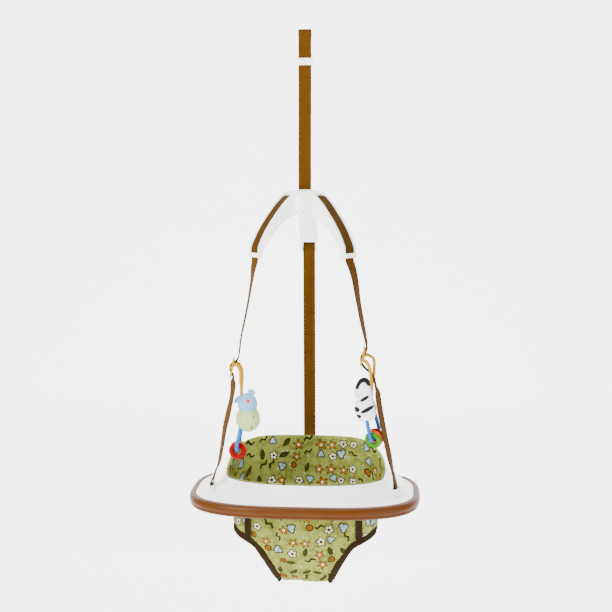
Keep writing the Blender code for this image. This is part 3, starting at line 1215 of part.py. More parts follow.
def leg_binding(side):
    sign = -1 if side == "left" else 1
    clear = BINDING_DIAMETER / 2 + GAP
    outline = leg_cut_outline()
    edge = []
    for index, (x, z) in enumerate(outline):
        before, after = outline[max(index - 1, 0)], outline[min(index + 1, len(outline) - 1)]
        along = Vector((after[0] - before[0], after[1] - before[1])).normalized()
        outward = Vector((-along.y, along.x))
        drop_share = (-z - BASE_FLOOR_DROP) / (CROTCH_DROP - BASE_FLOOR_DROP)
        half_width = seat_section(min(max(drop_share, 0.0), 1.0))[0] - SEAT_WALL / 2
        if x < half_width and z > seat_height(0.985):
            edge.append((x, z, outward))
    first_x, first_z, _ = edge[0]
    drop_share = (-first_z - BASE_FLOOR_DROP) / (CROTCH_DROP - BASE_FLOOR_DROP)
    half_width, _, centre_y, _ = seat_section(drop_share)
    front, back = [], []
    for x, z, outward in edge:
        place_x, place_z = x + outward.x * clear, z + outward.y * clear
        front.append((sign * place_x, seat_surface(x, z, -1, SEAT_WALL / 2), place_z))
        back.append((sign * place_x, seat_surface(x, z, 1, SEAT_WALL / 2), place_z))
    top = (sign * (half_width - SEAT_WALL / 2), centre_y, first_z - clear)
    last_x, _, last_out = edge[-1]
    bottom = (sign * (last_x + clear), SEAT_BOTTOM_CENTRE_Y, seat_height(1.0) + SEAT_WALL / 2)
    points = [top] + front + [bottom] + list(reversed(back))
    name = "leg_binding_" + side
    return add_object(name, closed_tube(name, points, BINDING_DIAMETER), BINDING_DARK)


def seat_strap(side):
    sign = -1 if side == "left" else 1
    rows = []
    for share in (0.0, 0.33, 0.67, 1.0):
        height = -mix(SEAT_STRAP_TOP_DROP, SEAT_STRAP_BOTTOM_DROP, share)
        row = []
        for across in (-0.5, 0.0, 0.5):
            x = SEAT_STRAP_OFFSET + SEAT_STRAP_WIDTH * across
            row.append((sign * x, seat_surface(x, height, -1), height))
        rows.append(row)
    rings = []
    near, far = GAP * 2, GAP * 2 + WEBBING_THICKNESS
    for row in rows:
        close = [Vector((x, y - near, z)) for x, y, z in row]
        away = [Vector((x, y - far, z)) for x, y, z in reversed(row)]
        rings.append(close + away)
    name = "seat_strap_" + side
    return add_object(name, loft(name, rings), BINDING_DARK)


# Toys
def toy_clip(side):
    toy = TOYS[side]
    bridge_x, bridge_drop = toy["bridge"]
    shaft_x, shaft_drop = toy["shaft"]
    front, back = TOY_Y - CLIP_ARM_SPREAD, TOY_Y + CLIP_ARM_SPREAD
    merge_drop = mix(toy["front_arm"][-1][1], shaft_drop, 0.35)
    arms = []
    for key, y in (("front_arm", front), ("back_arm", back)):
        places = [hung(x, y, drop) for x, drop in [toy["bridge"]] + toy[key]]
        places += [hung(shaft_x, mix(y, TOY_Y, 0.85), merge_drop), hung(shaft_x, TOY_Y, shaft_drop)]
        arms.append(tube(key, smooth_route(places, CURVE_SPACING), CLIP_ARM_DIAMETER))
    overhang = CLIP_BRIDGE_DIAMETER / 2
    bridge = cylinder("bridge", CLIP_BRIDGE_DIAMETER, hung(bridge_x, front - overhang, bridge_drop),
                      hung(bridge_x, back + overhang, bridge_drop), 12)
    tab_y = front - CLIP_ARM_DIAMETER * 0.2
    tab_places = [hung(x, tab_y, drop) for x, drop in toy["tab"]]
    tab = tube("tab", smooth_route(tab_places, CURVE_SPACING), CLIP_TAB_DIAMETER)
    name = "toy_clip_" + side
    clip = add_object(name, arms[0], CLIP_YELLOW)
    combine(clip, add_cutter("clip_back_arm_" + side, arms[1]), "UNION")
    combine(clip, add_cutter("clip_bridge_" + side, bridge), "UNION")
    combine(clip, add_cutter("clip_tab_" + side, tab), "UNION")
    # The stuffing leaves room for the shaft, and above it for the two arms where they meet
    neck_drop = mix(merge_drop, shaft_drop, 0.4)
    neck_end = shaft_drop + GAP * 2
    arms_top = merge_drop - CLIP_ARM_SPREAD
    socket = cylinder("socket", CLIP_ARM_DIAMETER * 1.35, hung(shaft_x, TOY_Y, neck_drop),
                      hung(shaft_x, TOY_Y, neck_end), 12)
    socket = add_cutter("clip_socket_" + side, socket)
    room = cylinder("room", CLIP_ARM_DIAMETER + CLIP_ARM_SPREAD, hung(shaft_x, TOY_Y, arms_top),
                    hung(shaft_x, TOY_Y, neck_drop + GAP * 2), 16)
    combine(socket, add_cutter("clip_room_" + side, room), "UNION")
    return clip, socket


def loop_direction(side):
    toy = TOYS[side]
    climb = math.radians(toy["loop_climb"])
    flat = bearing_vector(toy["loop_bearing"])
    return Vector((flat.x * math.cos(climb), flat.y * math.cos(climb), math.sin(climb)))


def loop_middle(side):
    return Vector(hung(*TOYS[side]["loop_centre"]))


def toy_loop_route(side):
    toy = TOYS[side]
    centre = loop_middle(side)
    along = loop_direction(side)
    reach = RING_PITCH * RINGS_PER_TOY / 2 + LOOP_TUBE_DIAMETER * 0.5
    front_end, back_end = centre - along * reach, centre + along * reach
    rise = LOOP_TUBE_DIAMETER
    (front_x, front_drop), (back_x, back_drop) = toy["loop_entry"]
    front_entry = Vector(hung(front_x, TOY_Y - LOOP_TUBE_DIAMETER, front_drop))
    back_entry = Vector(hung(back_x, TOY_Y + LOOP_TUBE_DIAMETER, back_drop))
    up = Vector((0, 0, rise))
    return [tuple(place) for place in (
        front_entry, front_entry.lerp(front_end + up, 0.5) - along * rise * 0.3,
        front_end + up - along * rise * 0.6, front_end, centre - along * RING_PITCH,
        centre, centre + along * RING_PITCH, back_end, back_end + up + along * rise * 0.6,
        back_entry.lerp(back_end + up, 0.5) + along * rise * 0.3, back_entry)]


def toy_loop(side):
    name = "ring_loop_" + side
    route = smooth_route(toy_loop_route(side), LOOP_TUBE_DIAMETER * 0.6)
    made = add_object(name, tube(name, route, LOOP_TUBE_DIAMETER), LOOP_BLUE)
    socket_name = "loop_socket_" + side
    return made, add_cutter(socket_name, tube(socket_name, route, LOOP_TUBE_DIAMETER + GAP * 4))


def toy_ring(side, index):
    colour = TOYS[side]["ring_colours"][index]
    along = loop_direction(side)
    axis = loop_middle(side) + along * RING_PITCH * (index - (RINGS_PER_TOY - 1) / 2)
    down = Vector((0, 0, -1))
    down = (down - along * down.dot(along)).normalized()
    hang = RING_HOLE_DIAMETER / 2 - LOOP_TUBE_DIAMETER / 2 - GAP
    section = (RING_OUTER_DIAMETER - RING_HOLE_DIAMETER) / 4
    middle = (RING_OUTER_DIAMETER + RING_HOLE_DIAMETER) / 4
    bpy.ops.mesh.primitive_torus_add(major_segments=20, minor_segments=8, major_radius=middle,
                                     minor_radius=section)
    made = bpy.context.active_object
    made.name = "ring_" + colour + "_" + side
    for owner in list(made.users_collection):
        owner.objects.unlink(made)
    PARTS.objects.link(made)
    flatten = Matrix.Diagonal((1, 1, RING_THICKNESS / (section * 2), 1))
    upright = along.to_track_quat("Z", "Y").to_matrix().to_4x4()
    made.data.transform(Matrix.Translation(down * hang) @ upright @ flatten)
    made.location = axis
    made.data.materials.append(RING_COLOURS[colour])
    made.data.shade_smooth()
    return made


def stuffed_space(name):
    return add_cutter(name + "_space", egg(name + "_space", STUFFED[name], grow=GAP))


def left_toy(clip_socket, loop_socket):
    head = add_object("hippo_head", egg("hippo_head", STUFFED["hippo_head"]), PLUSH_BLUE)
    body = add_object("hippo_body", egg("hippo_body", STUFFED["hippo_body"]), PLUSH_GREEN)
    head_space = stuffed_space("hippo_head")
    combine(head, clip_socket, "DIFFERENCE")
    combine(body, head_space, "DIFFERENCE")
    combine(body, clip_socket, "DIFFERENCE")
    combine(body, loop_socket, "DIFFERENCE")
    for name in ("hippo_ear_inner", "hippo_ear_outer"):
        ear = add_object(name, egg(name, STUFFED[name], segments=12, rows=8), PLUSH_BLUE)
        combine(ear, head_space, "DIFFERENCE")
        combine(ear, clip_socket, "DIFFERENCE")


def right_toy(clip_socket, loop_socket):
    body = add_object("zebra_body", egg("zebra_body", STUFFED["zebra_body"]), PLUSH_WHITE)
    head = add_object("zebra_head", egg("zebra_head", STUFFED["zebra_head"]), PLUSH_WHITE)
    snout = add_object("zebra_snout", egg("zebra_snout", STUFFED["zebra_snout"], segments=14), PLUSH_WHITE)
    mane = egg("zebra_mane", STUFFED["zebra_mane"], segments=12, rows=8)
    body_space = stuffed_space("zebra_body")
    head_space = stuffed_space("zebra_head")
    combine(body, clip_socket, "DIFFERENCE")
    combine(body, loop_socket, "DIFFERENCE")
    combine(head, body_space, "DIFFERENCE")
    combine(head, clip_socket, "DIFFERENCE")
    combine(snout, body_space, "DIFFERENCE")
    combine(snout, head_space, "DIFFERENCE")
    combine(add_object("zebra_mane", mane, PLUSH_BLACK), head_space, "DIFFERENCE")


def build():
    hanging_strap()
    adjuster()
    strap_tail()
    main_strap()
    main_strap_loop()
    hanger_shell()
    hanger_cover()
    crossbar()
    for side in ARM_DIRECTIONS:
        keeper(side)
        arm_strap(side)
    for side in COVER_SCREW_DIRECTIONS:
        screw("cover_screw_" + side, *cover_screw_axis(side), CROWN_TOP_DROP + HUB_HEIGHT)
    for side in ("left", "right"):
        front_strap(side)
        front_strap_loop(side)
    back_strap()
    tray_top()
    tray_base()
    bumper()
    for side in anchor_places():
        anchor_bezel(side)
        anchor_pin(side)
    for name in TRAY_SCREW_PLACES_SHARES:
        screw("tray_screw_" + name, *tray_screw_place(name), BASE_FLOOR_DROP)
    seat_bucket()
    for side in ("left", "right"):
        leg_binding(side)
        seat_strap(side)
    for side, make_toy in (("left", left_toy), ("right", right_toy)):
        _, clip_socket = toy_clip(side)
        _, loop_socket = toy_loop(side)
        make_toy(clip_socket, loop_socket)
        for index in range(RINGS_PER_TOY):
            toy_ring(side, index)


build()
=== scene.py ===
import json
import math

import bmesh
import bpy
from mathutils import Matrix, Vector, kdtree, noise


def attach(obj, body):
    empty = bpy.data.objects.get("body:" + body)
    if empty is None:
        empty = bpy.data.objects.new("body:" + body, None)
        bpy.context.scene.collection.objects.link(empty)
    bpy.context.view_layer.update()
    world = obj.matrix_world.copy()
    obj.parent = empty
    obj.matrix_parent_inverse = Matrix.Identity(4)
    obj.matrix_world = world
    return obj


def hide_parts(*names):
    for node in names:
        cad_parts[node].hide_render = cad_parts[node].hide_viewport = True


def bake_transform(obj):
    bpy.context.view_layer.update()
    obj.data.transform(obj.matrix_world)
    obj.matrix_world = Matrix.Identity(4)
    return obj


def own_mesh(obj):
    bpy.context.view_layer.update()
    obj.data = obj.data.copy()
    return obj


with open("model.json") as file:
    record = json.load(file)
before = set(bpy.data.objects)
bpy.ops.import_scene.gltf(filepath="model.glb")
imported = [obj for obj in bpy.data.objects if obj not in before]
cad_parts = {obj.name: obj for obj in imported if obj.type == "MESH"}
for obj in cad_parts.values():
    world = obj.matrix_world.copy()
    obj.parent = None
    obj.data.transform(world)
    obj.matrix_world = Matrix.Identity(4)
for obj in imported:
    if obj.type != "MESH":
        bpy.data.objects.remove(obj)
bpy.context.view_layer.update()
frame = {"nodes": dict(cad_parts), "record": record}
scene = bpy.context.scene
print("frame loaded")

cameraSetup = {"place": (0.2197, -2.7914, -0.3462), "pitch": 83.0, "heading": 4.441, "lens": 65.12,
               "sensor": 36.0}

cameraData = bpy.data.cameras.new("camera")
cameraData.lens = cameraSetup["lens"]
cameraData.sensor_width = cameraSetup["sensor"]
cameraData.clip_end = 60
camera = bpy.data.objects.new("camera", cameraData)
camera.location = cameraSetup["place"]
camera.rotation_euler = (math.radians(cameraSetup["pitch"]), 0, math.radians(cameraSetup["heading"]))
scene.collection.objects.link(camera)
scene.camera = camera


class Wire:
    def __init__(self, tree, socket):
        self.tree = tree
        self.socket = socket

    def add(self, kind, settings=None, values=None, out=0):
        made = self.tree.nodes.new(kind)
        for key, value in (settings or {}).items():
            setattr(made, key, value)
        for key, value in (values or {}).items():
            if isinstance(value, Wire):
                self.tree.links.new(value.socket, made.inputs[key])
            else:
                made.inputs[key].default_value = value
        return Wire(self.tree, made.outputs[out])

    def math(self, operation, other=None, first=None):
        values = {0: self if first is None else first}
        if other is not None:
            values[1] = other
        return self.add("ShaderNodeMath", {"operation": operation}, values)

    def __add__(self, other):
        return self.math("ADD", other)

    __radd__ = __add__

    def __sub__(self, other):
        return self.math("SUBTRACT", other)

    def __rsub__(self, other):
        return self.math("SUBTRACT", self, first=other)

    def __mul__(self, other):
        return self.math("MULTIPLY", other)

    __rmul__ = __mul__

    def __truediv__(self, other):
        return self.math("DIVIDE", other)

    def __gt__(self, other):
        return self.math("GREATER_THAN", other)

    def __lt__(self, other):
        return self.math("LESS_THAN", other)

    def __abs__(self):
        return self.math("ABSOLUTE")

    def sin(self):
        return self.math("SINE")

    def cos(self):
        return self.math("COSINE")

    def part(self, index):
        return self.add("ShaderNodeSeparateXYZ", {}, {0: self}, out=index)

    def spread(self, low, high):
        return self.add("ShaderNodeMapRange", {"clamp": True, "interpolation_type": "SMOOTHSTEP"},
                        {0: self, 1: low, 2: high, 3: 0.0, 4: 1.0})

    def tint(self, under, over):
        # this mask lays the second colour over the first
        return self.add("ShaderNodeMix", {"data_type": "RGBA"}, {0: self, 6: under, 7: over}, out=2)

    def scaled(self, factor):
        return self.add("ShaderNodeVectorMath", {"operation": "SCALE"}, {0: self, "Scale": factor})

    def noise(self, scale, detail=3.0, roughness=0.5, distortion=0.0):
        return self.add("ShaderNodeTexNoise", {}, {"Vector": self, "Scale": scale, "Detail": detail,
                                                   "Roughness": roughness, "Distortion": distortion})


def paint(red, green, blue):
    # screen colour 0 to 255 to the shader's own scale
    linear = []
    for value in (red, green, blue):
        share = value / 255
        linear.append(share / 12.92 if share <= 0.04045 else ((share + 0.055) / 1.055) ** 2.4)
    return (*linear, 1.0)


def newMaterial(name, roughness=0.5, metallic=0.0, **constants):
    made = bpy.data.materials.new(name)
    made.use_nodes = True
    tree = made.node_tree
    shader = tree.nodes["Principled BSDF"]
    shader.inputs["Roughness"].default_value = roughness
    shader.inputs["Metallic"].default_value = metallic
    for key, value in constants.items():
        shader.inputs[key.replace("_", " ")].default_value = value
    place = tree.nodes.new("ShaderNodeTexCoord")
    return made, shader, Wire(tree, place.outputs["Object"]), Wire(tree, place.outputs["UV"])


def feed(shader, socket, wire):
    wire.tree.links.new(wire.socket, shader.inputs[socket])


def bump(shader, height, strength, distance):
    feed(shader, "Normal", height.add("ShaderNodeBump", {}, {"Strength": strength, "Distance": distance,
                                                             "Height": height}))


# the pitch of the ribs across the webbing, of the slanting threads along it, and where its edge darkens
weave = {"rib": 0.0042, "thread": 0.0014, "edgeStart": 0.0120, "edgeEnd": 0.0158}


def webbingMaterial(name, ground, shade, glow):
    made, shader, spot, uv = newMaterial(name, 0.85, Specular_IOR_Level=0.04)
    across, along = uv.part(0), uv.part(1)
    ribs = (across * (math.tau / weave["rib"])).cos() * 0.5 + 0.5
    slant = across.math("PINGPONG", weave["rib"] / 2)
    threads = ((along + slant) * (math.tau / weave["thread"])).sin() * 0.5 + 0.5
    edge = abs(across).spread(weave["edgeStart"], weave["edgeEnd"])
    # on the webbing this is only wear: random darker patches
    wornAndCreaseShade = spot.noise(36.0, 3.0)
    fine = spot.noise(900.0, 2.0)
    colour = (ribs * 0.40 + 0.40).tint(shade, ground)
    colour = (threads * ribs * 0.16).tint(colour, glow)
    colour = (edge * 0.55).tint(colour, shade)
    colour = (wornAndCreaseShade.spread(0.45, 0.75) * 0.22).tint(colour, shade)
    colour = (fine.spread(0.5, 0.8) * 0.18).tint(colour, glow)
    feed(shader, "Base Color", colour)
    feed(shader, "Roughness", 0.66 + fine * 0.16)
    bump(shader, ribs * 0.7 + threads * 0.45, 0.55, 0.00035)
    return made


strapWebbing = webbingMaterial("strapWebbing", paint(80, 49, 10), paint(46, 26, 1), paint(108, 70, 8))
rearWebbing = webbingMaterial("rearWebbing", paint(78, 48, 10), paint(50, 28, 1), paint(100, 62, 8))
armWebbing = webbingMaterial("armWebbing", paint(70, 43, 3), paint(42, 25, 1), paint(98, 66, 12))


def plasticMaterial(name, colour, deep, roughness, speck=0.0, coat=0.15, gloss=0.5):
    made, shader, spot, _ = newMaterial(name, roughness, Coat_Weight=coat, Coat_Roughness=0.2,
                                         Specular_IOR_Level=gloss)
    cloud = spot.noise(14.0, 4.0)
    grain = spot.noise(1400.0, 2.0)
    feed(shader, "Base Color", (cloud.spread(0.35, 0.8) * 0.5 + grain * speck).tint(colour, deep))
    feed(shader, "Roughness", roughness - 0.05 + cloud * 0.08 + grain * 0.05)
    bump(shader, grain, 0.10, 0.0002)
    return made


trayWhite = plasticMaterial("trayWhite", paint(248, 247, 244), paint(240, 238, 234), 0.34)
hangerWhite = plasticMaterial("hangerWhite", paint(248, 247, 244), paint(238, 235, 231), 0.36)
bumperBrown = plasticMaterial("bumperBrown", paint(76, 38, 0), paint(60, 30, 0), 0.40, 0.1, 0.03, 0.10)
clipYellow = plasticMaterial("clipYellow", paint(164, 122, 0), paint(148, 106, 0), 0.34, 0.0, 0.0, 0.03)
loopBlue = plasticMaterial("loopBlue", paint(20, 88, 156), paint(10, 72, 138), 0.28, 0.0, 0.08, 0.2)
ringRed = plasticMaterial("ringRed", paint(124, 0, 0), paint(104, 0, 0), 0.34, 0.0, 0.0, 0.05)
ringOrange = plasticMaterial("ringOrange", paint(196, 80, 0), paint(176, 64, 0), 0.30, 0.0, 0.04, 0.12)
ringGreen = plasticMaterial("ringGreen", paint(44, 112, 0), paint(30, 90, 0), 0.30, 0.0, 0.04, 0.12)


def steelMaterial():
    made, shader, spot, _ = newMaterial("plainSteel", 0.32, 1.0)
    streak = spot.noise(420.0, 4.0, 0.6, 1.5)
    feed(shader, "Base Color", streak.tint(paint(150, 150, 152), paint(205, 205, 207)))
    feed(shader, "Roughness", 0.24 + streak * 0.2)
    bump(shader, streak, 0.08, 0.0001)
    return made


plainSteel = steelMaterial()

printDesign = {"cell": 0.0330, "small": 0.0118, "outline": 0.046, "thread": 0.0007}


def seatPrintMaterial():
    made, shader, spot, uv = newMaterial("seatPrint", 0.92, Specular_IOR_Level=0.05)
    ground, shadeGreen = paint(124, 130, 60), paint(92, 98, 32)
    brown, olive = paint(20, 12, 3), paint(50, 62, 12)
    white, blue = paint(206, 204, 178), paint(60, 122, 160)
    orange, rust = paint(158, 82, 4), paint(104, 38, 4)

    def cells(size, looseness, shift):
        moved = uv.add("ShaderNodeVectorMath", {"operation": "ADD"}, {0: uv, 1: (shift, shift * 0.7, 0)})
        grid = moved.scaled(1 / size)
        values = {"Vector": grid, "Scale": 1.0, "Randomness": looseness}
        settings = {"voronoi_dimensions": "2D", "feature": "F1"}
        node = grid.add("ShaderNodeTexVoronoi", settings, values)
        outputs = node.socket.node.outputs
        chance = Wire(grid.tree, outputs["Color"])
        centre = Wire(grid.tree, outputs["Position"])
        offset = grid.add("ShaderNodeVectorMath", {"operation": "SUBTRACT"}, {0: grid, 1: centre})
        turn = chance.part(0) * math.tau
        x, y = offset.part(0), offset.part(1)
        turnedX, turnedY = x * turn.cos() - y * turn.sin(), x * turn.sin() + y * turn.cos()
        return turnedX, turnedY, chance.part(1), chance.part(2)

    x, y, kind, size = cells(printDesign["cell"], 0.55, 0.131)
    grow = 1.25 + size * 0.40
    x, y = x / grow, y / grow
    reach = (x * x + y * y).math("SQRT")
    angle = y.math("ARCTAN2", x)
    flower = 0.185 + (angle * 5.0).cos() * 0.080 - reach
    star = 0.13 + abs((angle * 2.5).cos()) * 0.12 - reach
    fruit = 0.165 - reach
    cloud = 0.205 + (angle * 3.0).cos() * 0.04 + (angle * 7.0).cos() * 0.012 - reach
    leaf = 0.110 - abs(y) - x * x * 1.35
    wave = abs(y - (x * 16.0).sin() * 0.055)
    sprig = (0.030 - wave).math("MINIMUM", 0.26 - abs(x))

    colour = (spot.noise(9.0, 2.0).spread(0.4, 0.75) * 0.5).tint(ground, shadeGreen)
    marks = None

    def lay(colour, shape, low, high, fill, heart, heartShape):
        chosen = (kind > low) * (kind < high)
        body = shape.spread(0.0, 0.010) * chosen
        line = abs(shape).spread(printDesign["outline"], printDesign["outline"] * 0.5) * chosen
        colour = body.tint(colour, fill)
        if heartShape is not None:
            colour = (heartShape * body).tint(colour, heart)
        return line.tint(colour, brown), body.math("MAXIMUM", line)

    middle = reach.spread(0.085, 0.070)
    ringBand = abs(reach - 0.095).spread(0.026, 0.016)
    vein = abs(y).spread(0.024, 0.012)
    barbs = abs((x * 34.0).sin()).spread(0.80, 0.92)
    swirl = abs((reach * 46.0 + angle).sin()).spread(0.80, 0.94)
    for shape, low, high, fill, heart, heartShape in (
            (flower, -0.01, 0.17, orange, white, middle),
            (star, 0.17, 0.36, white, brown, middle),
            (leaf, 0.36, 0.50, olive, brown, vein.math("MAXIMUM", barbs * 0.6)),
            (cloud, 0.50, 0.67, blue, white, swirl),
            (fruit, 0.67, 0.78, rust, orange, ringBand),
            (sprig, 0.78, 1.01, brown, brown, None)):
        colour, mask = lay(colour, shape, low, high, fill, heart, heartShape)
        marks = mask if marks is None else marks.math("MAXIMUM", mask)

    x, y, kind, size = cells(printDesign["small"], 0.8, 0.377)
    dash = (0.22 - abs(y) * 2.0 - abs(x) * 0.62).spread(0.0, 0.05) * (kind > 0.46) * (kind < 0.88)
    dot = (0.17 - (x * x + y * y).math("SQRT")).spread(0.0, 0.05) * (kind > 0.88)
    free = 1 - marks
    colour = (dash * free * 0.9).tint(colour, brown)
    colour = (dot * free * (size > 0.5)).tint(colour, orange)
    colour = (dot * free * (size < 0.5)).tint(colour, white)

    turns = math.tau / printDesign["thread"]
    threads = (uv.part(0) * turns).sin() * (uv.part(1) * turns).sin()
    colour = (threads.spread(-1.0, 1.0) * 0.12).tint(colour, shadeGreen)
    creases = spot.noise(38.0, 4.0, 0.55, 0.6)
    # painted crease shade: thin darker lines where the noise crosses its middle stand in for the shadow in
    # the cloth's creases
    wornAndCreaseShade = abs(spot.noise(24.0, 2.0) - 0.5).spread(0.075, 0.0)
    colour = (wornAndCreaseShade * 0.42).tint(colour, paint(62, 62, 16))
    feed(shader, "Base Color", colour)
    bump(shader, threads * 0.25 + creases * 1.6, 0.35, 0.0012)
    return made


seatPrint = seatPrintMaterial()


def bindingMaterial():
    made, shader, spot, uv = newMaterial("boundEdge", 0.85, Specular_IOR_Level=0.05)
    rib = (uv.part(1) * (math.tau / 0.0011)).sin() * 0.5 + 0.5
    pucker = spot.noise(120.0, 3.0)
    colour = (rib * 0.5).tint(paint(28, 18, 6), paint(50, 35, 13))
    colour = (pucker.spread(0.45, 0.8) * 0.4).tint(colour, paint(18, 11, 3))
    feed(shader, "Base Color", colour)
    bump(shader, rib * 0.4 + pucker, 0.5, 0.0007)
    return made


boundEdge = bindingMaterial()


def threadMaterial():
    made, shader, spot, _ = newMaterial("sewingThread", 0.6)
    twist = spot.noise(2600.0, 2.0)
    feed(shader, "Base Color", twist.tint(paint(120, 86, 34), paint(88, 58, 18)))
    bump(shader, twist, 0.3, 0.0001)
    return made


sewingThread = threadMaterial()


def plushMaterial(name, colour, deep, patches=()):
    # patches: (centre, half sizes, lean in degrees, colour), seen from the front
    made, shader, spot, _ = newMaterial(name, 0.95, Sheen_Weight=0.12, Specular_IOR_Level=0.15)
    pile = spot.noise(620.0, 4.0, 0.7)
    soft = spot.noise(60.0, 3.0)
    paintwork = (soft.spread(0.35, 0.75) * 0.5 + pile * 0.3).tint(colour, deep)
    x, z = spot.part(0), spot.part(2)
    ragged = (pile - 0.5) * 0.25
    for (centreX, centreZ), (halfX, halfZ), lean, patchColour in patches:
        turn = math.radians(lean)
        dx, dz = x - centreX, z - centreZ
        along = (dx * math.cos(turn) + dz * math.sin(turn)) / halfX
        over = (dz * math.cos(turn) - dx * math.sin(turn)) / halfZ
        mask = (along * along + over * over + ragged).spread(1.12, 0.88)
        paintwork = mask.tint(paintwork, patchColour)
    feed(shader, "Base Color", paintwork)
    bump(shader, pile + soft * 0.8, 0.6, 0.0008)
    return made


pink, magenta, ink = paint(204, 104, 140), paint(150, 14, 58), paint(12, 11, 11)
hippoBlue = plushMaterial("hippoBlue", paint(108, 168, 200), paint(84, 146, 184), (
    ((-0.1350, -0.9190), (0.0068, 0.0062), 0, pink), ((-0.1345, -0.9192), (0.0030, 0.0030), 0, magenta)))
hippoGreen = plushMaterial("hippoGreen", paint(168, 186, 118), paint(146, 164, 92), (
    ((-0.1215, -0.9600), (0.0010, 0.0042), 8, ink), ((-0.1268, -0.9870), (0.0013, 0.0052), -14, ink)))
zebraWhite = plushMaterial("zebraWhite", paint(240, 240, 240), paint(218, 218, 221), (
    ((0.1555, -0.9090), (0.0130, 0.0046), 33, ink), ((0.1632, -0.9355), (0.0185, 0.0052), 28, ink),
    ((0.1362, -0.9372), (0.0078, 0.0066), 6, ink), ((0.1404, -0.9552), (0.0080, 0.0056), 20, ink),
    ((0.1450, -0.9700), (0.0052, 0.0026), 24, ink),
    ((0.1389, -0.9011), (0.0019, 0.0019), 0, ink), ((0.1330, -0.9160), (0.0014, 0.0009), 20, ink)))
maneBlack = plushMaterial("maneBlack", paint(10, 9, 9), paint(18, 17, 17))
print("finishes made")


def ease(value):
    value = min(max(value, 0.0), 1.0)
    return value * value * (3 - 2 * value)


def mix(start, end, share):
    return start + (end - start) * share


def bearingVector(degrees):
    return Vector((math.cos(math.radians(degrees)), math.sin(math.radians(degrees)), 0))


def linked(name, data):
    made = bpy.data.objects.new(name, data)
    scene.collection.objects.link(made)
    return made


def discard(things):
    for thing in things:
        bpy.data.objects.remove(thing, do_unlink=True)


def meshFrom(build, name):
    mesh = bpy.data.meshes.new(name)
    build.to_mesh(mesh)
    build.free()
    return mesh


def turnedOutwards(mesh):
    build = bmesh.new()
    build.from_mesh(mesh)
    bmesh.ops.recalc_face_normals(build, faces=build.faces)
    build.to_mesh(mesh)
    build.free()


def finalMesh(piece, spare=()):
    # the mesh with its modifiers applied, and the piece and its cutters go
    mesh = bpy.data.meshes.new_from_object(piece.evaluated_get(bpy.context.evaluated_depsgraph_get()))
    discard([piece, *spare])
    return mesh


def newPiece(name, mesh, material, body, slot, replaced=(), angle=40):
    piece = linked(name, mesh)
    mesh.materials.clear()
    mesh.materials.append(material)
    mesh.shade_smooth()
    mesh.set_sharp_from_angle(angle=math.radians(angle))
    if body:
        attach(piece, body)
    if replaced:
        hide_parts(*replaced)
    return piece


def curved(before, start, finish, after, t):
    # a Catmull-Rom curve through the rows, column by column
    return tuple(0.5 * (2 * b + (c - a) * t + (2 * a - 5 * b + 4 * c - d) * t * t
                        + (3 * b - a - 3 * c + d) * t * t * t)
                 for a, b, c, d in zip(before, start, finish, after))


def smoothRoute(points, spacing=None, steps=None):
    # a smooth run of rows through the ones given, by their distance in space or with equal steps
    ends = [points[0]] + list(points) + [points[-1]]
    route = []
    for index in range(1, len(ends) - 2):
        before, start, finish, after = ends[index - 1:index + 3]
        count = steps or max(1, round((Vector(finish[:3]) - Vector(start[:3])).length / spacing))
        for step in range(count):
            route.append(curved(before, start, finish, after, step / count))
    route.append(tuple(points[-1]))
    return route


def gridMesh(name, rows, uvs=None, closedAround=False, capped=True, looped=False):
    # closedAround joins the ends of each row, and looped joins the last row to the first
    build = bmesh.new()
    layer = build.loops.layers.uv.new("UVMap") if uvs else None
    made = [[build.verts.new(point) for point in row] for row in rows]
    count = len(rows[0])
    for i in range(len(rows) if looped else len(rows) - 1):
        n = (i + 1) % len(rows)
        for j in range(count if closedAround else count - 1):
            k = (j + 1) % count
            face = build.faces.new((made[i][j], made[i][k], made[n][k], made[n][j]))
            corners = ((i, j), (i, j + 1), (i + 1, j + 1), (i + 1, j))
            for loop, (row, column) in zip(face.loops, corners if uvs else ()):
                loop[layer].uv = uvs[row][column]
    if capped and closedAround and not looped:
        build.faces.new(list(reversed(made[0])))
        build.faces.new(made[-1])
    bmesh.ops.recalc_face_normals(build, faces=build.faces)
    return meshFrom(build, name)


def plainUvs(rows):
    return [[(0, 0)] * (len(rows[0]) + 1)] * len(rows)


webbingCut = {"width": 0.032, "thickness": 0.0014, "acrossSteps": 10, "selvedge": 0.10,
              "selvedgeFrom": 0.78, "edgeShare": 0.35, "gather": 0.16}
# the air left between pieces, and how far the middle of the webbing lies from what it rests on
clearance = 0.0003
standOff = clearance + webbingCut["thickness"] / 2


def webbingMesh(name, route, spacing):
    # each row: x, y, z, bearing of the width in degrees, share of the full width
    route = smoothRoute(route, spacing)
    cut, steps = webbingCut, webbingCut["acrossSteps"]
    rows, uvs, travelled = [], [], 0.0
    for index, (x, y, z, bearing, share) in enumerate(route):
        before, after = route[max(index - 1, 0)], route[min(index + 1, len(route) - 1)]
        along = (Vector(after[:3]) - Vector(before[:3])).normalized()
        across = bearingVector(bearing)
        across = (across - along * across.dot(along)).normalized()
        face = along.cross(across).normalized()
        centre = Vector((x, y, z))
        if index:
            travelled += (centre - Vector(route[index - 1][:3])).length
        gathered = (1 - share) * cut["width"] * cut["gather"]
        row, mapped = [], []
        for side in (-1, 1):
            for step in range(steps + 1):
                t = -1 + 2 * step / steps
                t = t if side < 0 else -t
                half = cut["thickness"] / 2 * (1 + cut["selvedge"] * (abs(t) > cut["selvedgeFrom"]))
                half *= cut["edgeShare"] if abs(t) == 1 else 1
                fold = gathered * (math.cos(t * math.pi) * 0.7 + 0.3 * math.cos(t * math.pi * 2))
                offset = t * cut["width"] / 2
                row.append(centre + across * offset * share + face * (side * half + fold))
                mapped.append((offset, travelled))
        mapped.append(mapped[0])
        rows.append(row)
        uvs.append(mapped)
    return gridMesh(name, rows, uvs, closedAround=True)


